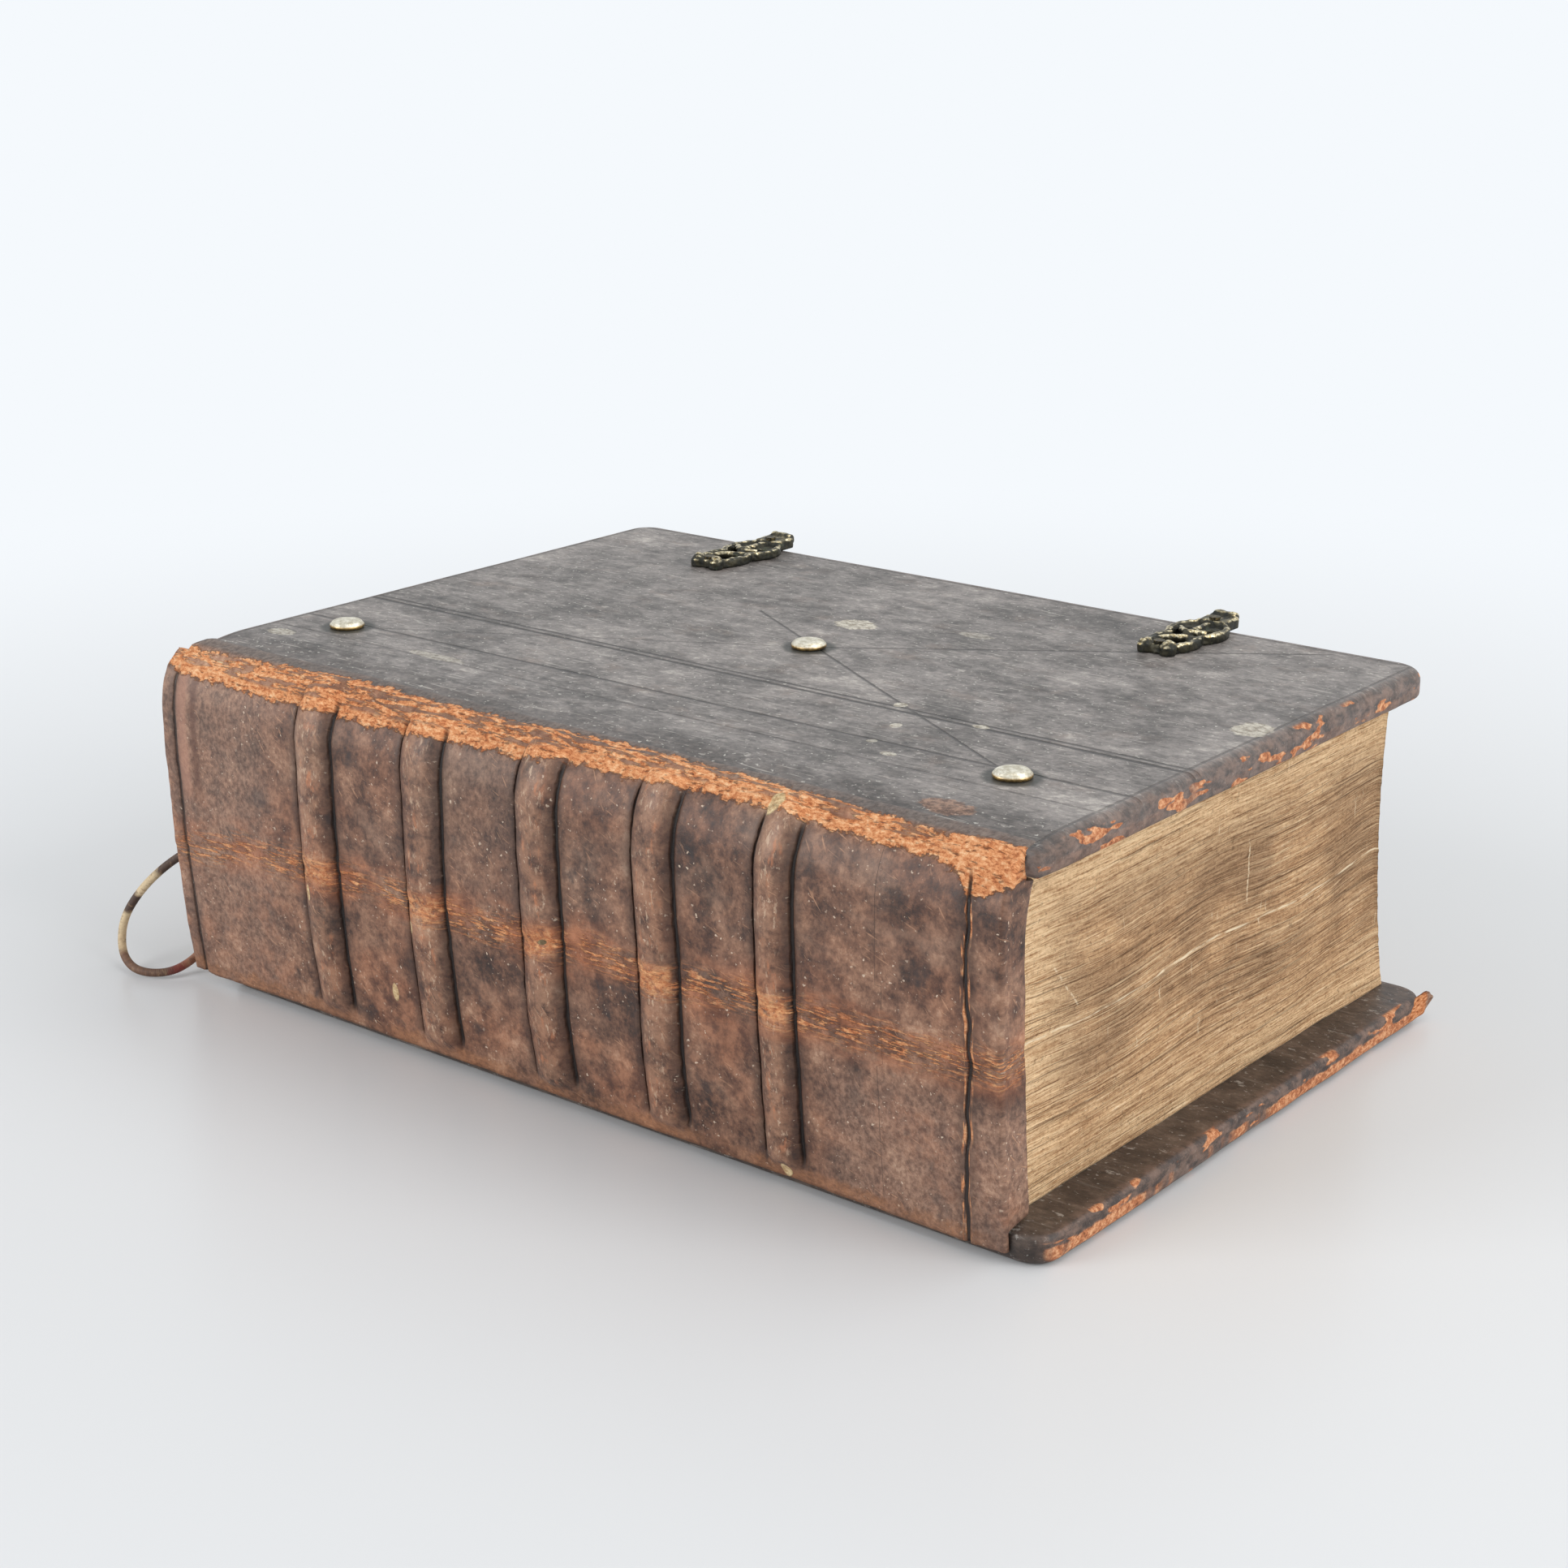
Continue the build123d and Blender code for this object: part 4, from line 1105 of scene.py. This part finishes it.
# Painted shade: near-black lines in the grooves beside the bands, along the head line and in the tail crack.
shaded_grooves = (abs(cut_off) + shade.lumps(x / 1.6, s / 5, 60) * 0.7 - 0.35).step(0.75, 0.2) * cut_shows
leather = (shaded_grooves * 0.92).mix(leather, (22, 18, 18))
cracked = abs(abs(cut_off) - 1.0).step(0.7, 0.1) * cut_shows * x.step(130, 132)
cracked = cracked * shade.lumps(x, s / 9, 61).step(0.48, 0.58)
leather = (cracked * 0.8).mix(leather, tan)
# Where bare cord shows: its place along the spine, its height on the skin, and its reach each way.
cord_spots = (
    (74.4, 102.0, 2.6, 3.4), (78.2, 2.5, 1.6, 2.4), (-93.6, 41.0, 0.9, 2.6), (-52.9, 39.6, 1.3, 2.0),
    (-63.9, 15.8, 1.2, 2.8),
)
bared = []
for place, height_s, wide, tall in cord_spots:
    across, along = (x - place) / wide, (s - height_s) / tall
    bared.append((across * across + along * along + suede * 1.8).step(2.1, 1.7))
bared = most_of(bared)
leather = (bared * 0.9).mix(leather, suede.tones(0.36, 0.62, (170, 132, 88), (238, 216, 168)))
grain = shade.lumps(x / 0.75, s / 0.75, 68, 3.0)
fuzz = torn.most(crease * 0.6)
bump = grain * 0.2 + mottle * 0.45 + patch * 0.5 + fuzz * suede * 2.4
bump = bump - shaded_grooves * 1.2 - pits * 0.9 + bared * 0.5
rough = 0.42 + mottle * 0.2 + fuzz * 0.36 - crest * 0.05
close_finish(shade, leather, bump, depth=0.3, rough=rough, gloss=0.42)
spine_leather = make_piece("banded_spine_calf", *double_skin(outer_skin, inner_skin), spine_calf)
carry(spine_leather, "skin", [skin_x, skin_s, ridge], 2)
carry(spine_leather, "wear", [torn_low, torn_high, off_crease], 2)
carry(spine_leather, "cut", [cut, cut_depth, 0 * cut], 2)
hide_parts("spine_leather")
(hinge_place - 0.6) * mm
(hinge_place + 0.6) * mm
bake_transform(spine_leather)

# Bosses: three cast brass buttons with a shank, driven through the calf into the upper board
# to keep it off the shelf. Hands have polished the tops, and green-black dirt fills the rims.
boss_radius = 5.2
boss_crown = 2.4
boss_shank = 1.1
boss_length = 5.0
boss_turns = 56
rubbed_brass, shade = start_finish("rubbed_boss_brass")
x, y, z = places(shade)
level = z - upper_high[2]
cast = shade.lumps(x / 2.2, y / 2.2, z / 2.2, 4.0, 0.65)
pore = shade.lumps(x / 0.6, y / 0.6, z / 0.6, 3.0)
brass = cast.tones(0.36, 0.64, (188, 180, 160), (224, 219, 205))
brass = (pore.step(0.58, 0.70) * 0.5).mix(brass, (142, 116, 70))
low_rim = level.step(1.35, 0.75)
brass = (low_rim * 0.9).mix(brass, cast.tones(0.4, 0.6, (112, 86, 40), (178, 144, 78)))
dirt = (level + cast * 0.8).step(0.75, 0.3)
brass = (dirt * 0.95).mix(brass, (34, 36, 28))
rough = 0.34 + cast * 0.2 + dirt * 0.35
close_finish(shade, brass, cast + pore * 0.3, depth=0.12, rough=rough, metal=0.92 - dirt * 0.75)
bend = np.linspace(0, 1, 9)
top_radius = (boss_radius - 0.5) * np.sin(bend * math.pi / 2)
top_level = boss_crown - 0.95 * (1 - np.cos(bend * math.pi / 2)) ** 1.3
rim_radius = [boss_radius - 0.22, boss_radius, boss_radius, boss_radius - 0.2, boss_radius - 0.5]
rim_level = [1.26, 0.98, 0.5, 0.16, -0.1]
shank_radius = [boss_shank, boss_shank, boss_shank * 0.6]
shank_level = [-0.1, -boss_length + 0.4, -boss_length]
profile_r = np.concatenate([[0.02], top_radius[1:], rim_radius, shank_radius])
profile_z = np.concatenate([[boss_crown], top_level[1:], rim_level, shank_level])
turn = full_turn(boss_turns)
for number, node in enumerate(boss_nodes):
    middle = sum(box_of(node)) / 2
    dent = wander(3 * np.cos(turn), 3 * np.sin(turn) + profile_r[:, None], 1.6, 100 + number)
    dent = 0.09 * dent * smooth(profile_r, 0.5, 2.0)[:, None]
    ring = profile_r[:, None] * (1 + 0.12 * dent)
    boss_points = np.stack(
        [
            middle[0] + ring * np.cos(turn),
            middle[1] + ring * np.sin(turn),
            upper_high[2] + profile_z[:, None] + dent * 0.6 - 0.05 * (profile_z > 0)[:, None],
        ],
        -1,
    ).reshape(-1, 3)
    boss_faces = [face[::-1] for face in tube_faces(len(profile_r), boss_turns)]
    boss = make_piece(f"{node}_button", boss_points, boss_faces, rubbed_brass)
    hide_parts(node)
    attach(boss, "upper_cover")

# Clasp catches: two pierced brass castings nailed to the fore-edge of the upper board, each with
# a bead that a clasp once hooked over. They were filed by hand, and only their high places shine.
catch_grain = 0.34
catch_bar_radius = 1.05
# Spots of the fine bars, and of the knobs with their radius, from the cover's fore-edge at the catch.
catch_bars = (
    ((-5.2, -30.0, 1.7), (-2.0, -27.6, 2.3), (1.8, -25.2, 2.3), (5.2, -22.4, 1.7)),
    ((-5.6, -14.4, 1.8), (-2.6, -18.4, 2.4), (1.0, -20.0, 2.5), (4.6, -17.2, 1.9)),
    ((0.0, -19.6, 2.4), (0.8, -15.0, 2.6), (0.0, -10.6, 2.4), (0.0, -7.6, 2.2)),
)
knob_places = ((-3.8, -37.4, 2.0, 2.3), (3.8, -37.4, 2.0, 2.3))
patinated_brass, shade = start_finish("patinated_catch_brass")
worn, hollow = carried(shade, "polish")[:2]
x, y, z = places(shade)
cast = shade.lumps(x / 2.4, y / 2.4, z / 2.4, 4.0, 0.65)
pore = shade.lumps(x / 0.55, y / 0.55, z / 0.55, 3.0)
shine = (worn + cast * 0.9 - 0.45).step(0.28, 0.72)
brass = cast.tones(0.36, 0.64, (24, 25, 19), (58, 54, 38))
brass = (hollow * 0.9).mix(brass, (12, 14, 11))
brass = (shine * 0.92).mix(brass, pore.tones(0.4, 0.62, (228, 217, 186), (158, 138, 94)))
verdigris = shade.lumps(x / 3.4 + 9, y / 3.4, z / 3.4, 4.0).step(0.60, 0.72) * (1 - shine)
brass = (verdigris * 0.4).mix(brass, (78, 92, 70))
rough = 0.52 - shine * 0.2 + hollow * 0.2
close_finish(shade, brass, cast + pore * 0.4, depth=0.16, rough=rough, metal=0.45 + shine * 0.5)


def bar(spots, radius, around=10):
    """A round bar that bends through a few spots, its points and faces."""
    line = through(spots, np.linspace(0, len(spots) - 1, 24))
    for _ in range(4):
        line[1:-1] = (line[:-2] + line[1:-1] + line[2:]) / 3
    points = tube_points(line, radius, full_turn(around), (0.0, 0.0, 1.0))
    return points, tube_faces(len(line), around)


def ball(spot, radius, rings=12, around=18):
    """A round bead, its points and faces."""
    tip = np.linspace(0.08, math.pi - 0.08, rings)[:, None]
    angle = full_turn(around)
    points = np.stack([np.sin(tip) * np.cos(angle), np.sin(tip) * np.sin(angle), np.cos(tip) + 0 * angle], -1)
    faces = [face[::-1] for face in tube_faces(rings, around)]
    return points.reshape(-1, 3) * radius + np.array(spot), faces


for number, node in enumerate(("head_catch", "tail_catch")):
    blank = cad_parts[node].data
    catch_low, catch_high = box_of(node)
    origin = np.array([(catch_low[0] + catch_high[0]) / 2, upper_high[1], upper_high[2]])
    blank_points = np.array([vertex.co for vertex in blank.vertices]) / mm - origin
    parts = [(blank_points, [list(polygon.vertices) for polygon in blank.polygons])]
    parts += [bar(spots, catch_bar_radius) for spots in catch_bars]
    parts += [ball(spot[:3], spot[3]) for spot in knob_places]
    casting_points, casting_faces = [], []
    for points, faces in parts:
        first = sum(len(block) for block in casting_points)
        casting_points.append(points)
        casting_faces += [[first + corner for corner in face] for face in faces]
    rough_cast = make_piece(f"{node}_rough", np.concatenate(casting_points), casting_faces, patinated_brass)
    remesh = rough_cast.modifiers.new("cast", "REMESH")
    remesh.mode = "VOXEL"
    remesh.voxel_size = catch_grain * mm
    soften = rough_cast.modifiers.new("soften", "SMOOTH")
    soften.factor = 0.5
    soften.iterations = 4
    evaluated = rough_cast.evaluated_get(bpy.context.evaluated_depsgraph_get())
    cast_mesh = bpy.data.meshes.new_from_object(evaluated)
    bpy.data.objects.remove(rough_cast)
    points = np.array([vertex.co for vertex in cast_mesh.vertices]) / mm
    normals = np.array([vertex.normal for vertex in cast_mesh.vertices])
    edges = np.array([edge.vertices[:] for edge in cast_mesh.edges])
    links = np.bincount(edges.ravel(), minlength=len(points))[:, None]

    def around_mean(values):
        """The mean of each point's neighbours."""
        total = np.zeros_like(values)
        np.add.at(total, edges[:, 0], values[edges[:, 1]])
        np.add.at(total, edges[:, 1], values[edges[:, 0]])
        return total / links

    lumps = 0.22 * wander(points[:, 0] + points[:, 2], points[:, 1], 2.6, 110 + number)
    lumps += 0.12 * wander(points[:, 0], points[:, 1] + points[:, 2], 1.1, 112 + number)
    free = smooth(points[:, 2], 0.3, 1.2)
    points = points + normals * (lumps * free)[:, None]
    bulge = ((points - around_mean(points)) * normals).sum(1)[:, None]
    for _ in range(5):
        bulge = (bulge + around_mean(bulge)) / 2
    high = smooth(points[:, 2], 1.2, 3.2)
    facing = np.clip(normals[:, 2], 0, 1)
    worn = smooth(bulge[:, 0], 0.0, 0.05) * (0.35 + 0.65 * high) + 0.3 * high * facing
    hollow = smooth(bulge[:, 0], 0.0, -0.03) * (1 - 0.5 * high) + smooth(points[:, 2], 1.0, 0.2) * 0.5
    faces = [list(polygon.vertices) for polygon in cast_mesh.polygons]
    catch = make_piece(f"{node}_casting", points + origin, faces, patinated_brass)
    bpy.data.meshes.remove(cast_mesh)
    carry(catch, "polish", [np.clip(worn, 0, 1), np.clip(hollow, 0, 1), 0 * worn], 1)
    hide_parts(node)
    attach(catch, "upper_cover")

# Nails: hand-made brass nails through the catches into the board, their heads flush with the
# casting and as dull as its hollows.
dull_nails, shade = start_finish("dull_nail_brass")
x, y, z = places(shade)
hammered = shade.lumps(x / 0.9, y / 0.9, z / 0.9, 3.0)
brass = hammered.tones(0.4, 0.62, (34, 32, 24), (98, 86, 58))
close_finish(shade, brass, hammered, depth=0.15, rough=0.5, metal=0.7)
dress("catch_nails", dull_nails)

# Camera, floor and light: a plain pale floor, seen with the book from the tail end of its spine.
# The floor fades into white, and three soft lamps light the book evenly.
camera_place = (0.4767, -0.6006, 0.3172)
camera_azimuth = math.radians(38.64)
camera_elevation = math.radians(17.97)
camera_lens = 62.80
camera_sensor = 36.0
camera = bpy.data.objects.new("camera", bpy.data.cameras.new("camera"))
camera.location = camera_place
camera.rotation_euler = (math.pi / 2 - camera_elevation, 0, camera_azimuth)
camera.data.lens = camera_lens
camera.data.sensor_width = camera_sensor
bpy.context.collection.objects.link(camera)
bpy.context.scene.camera = camera
bpy.context.scene.view_settings.view_transform = "Standard"


def background_seen(shade):
    """1 for a view, reflection or refraction that ends in the background, 0 for its light."""
    kinds = ("Camera", "Glossy", "Transmission")
    return most_of(shade.node("LightPath", {}, {}, f"Is {kind} Ray") for kind in kinds)


floor_half = 14.0
haze_start = 120.0
haze_end = 760.0
ambient = 0.44
floor_mesh = bpy.data.meshes.new("floor")
corners = [(x * floor_half, y * floor_half, 0) for x, y in ((-1, -1), (1, -1), (1, 1), (-1, 1))]
floor_mesh.from_pydata(corners, [], [(0, 1, 2, 3)])
floor = bpy.data.objects.new("floor", floor_mesh)
bpy.context.collection.objects.link(floor)
pale_floor, shade = start_finish("pale_floor")
x, y, z = places(shade)
off_middle = x * x + y * y
haze = off_middle.maths("SQRT", off_middle).step(haze_start, haze_end)
near_floor = shade.node(
    "BsdfPrincipled", {}, {"Base Color": colour(219, 220, 222), "Roughness": 0.3, "Specular IOR Level": 0.3}
)
glow = shade.node("Emission", {}, {"Color": colour(245, 249, 253), "Strength": 1.0})
mixed = shade.node("MixShader", {}, {0: haze * background_seen(shade), 1: near_floor, 2: glow})
shade.node("OutputMaterial", {}, {"Surface": mixed})
floor_mesh.materials.append(pale_floor)

surround = bpy.data.worlds.new("surround")
bpy.context.scene.world = surround
surround.use_nodes = True
surround.node_tree.nodes.clear()
shade = Shade(surround.node_tree)
strength = background_seen(shade) * (1 - ambient) + ambient
air = shade.node("Background", {}, {"Color": colour(248, 252, 254), "Strength": strength})
shade.node("OutputWorld", {}, {"Surface": air})


def add_lamp(name, place, aim, size, power, tint):
    """A soft square lamp that faces a point."""
    lamp = bpy.data.lights.new(name, "AREA")
    lamp.shape = "SQUARE"
    lamp.size = size
    lamp.energy = power
    lamp.color = tint
    holder = bpy.data.objects.new(name, lamp)
    holder.location = place
    turn_x, turn_y, turn_z = (b - a for a, b in zip(place, aim))
    flat = math.hypot(turn_x, turn_y)
    holder.rotation_euler = (math.atan2(flat, -turn_z), 0, math.atan2(turn_y, turn_x) - math.pi / 2)
    bpy.context.collection.objects.link(holder)


book_middle = (0, 0, 0.05)
add_lamp("front", (-1.0, -1.9, 0.9), book_middle, size=1.2, power=28.0, tint=(1.0, 1.0, 1.0))
add_lamp("overhead", (0.5, 0.6, 1.9), book_middle, size=1.6, power=13.0, tint=(1.0, 0.99, 0.97))
add_lamp("side", (1.8, 0.1, 0.9), book_middle, size=1.4, power=23.0, tint=(1.0, 0.98, 0.95))
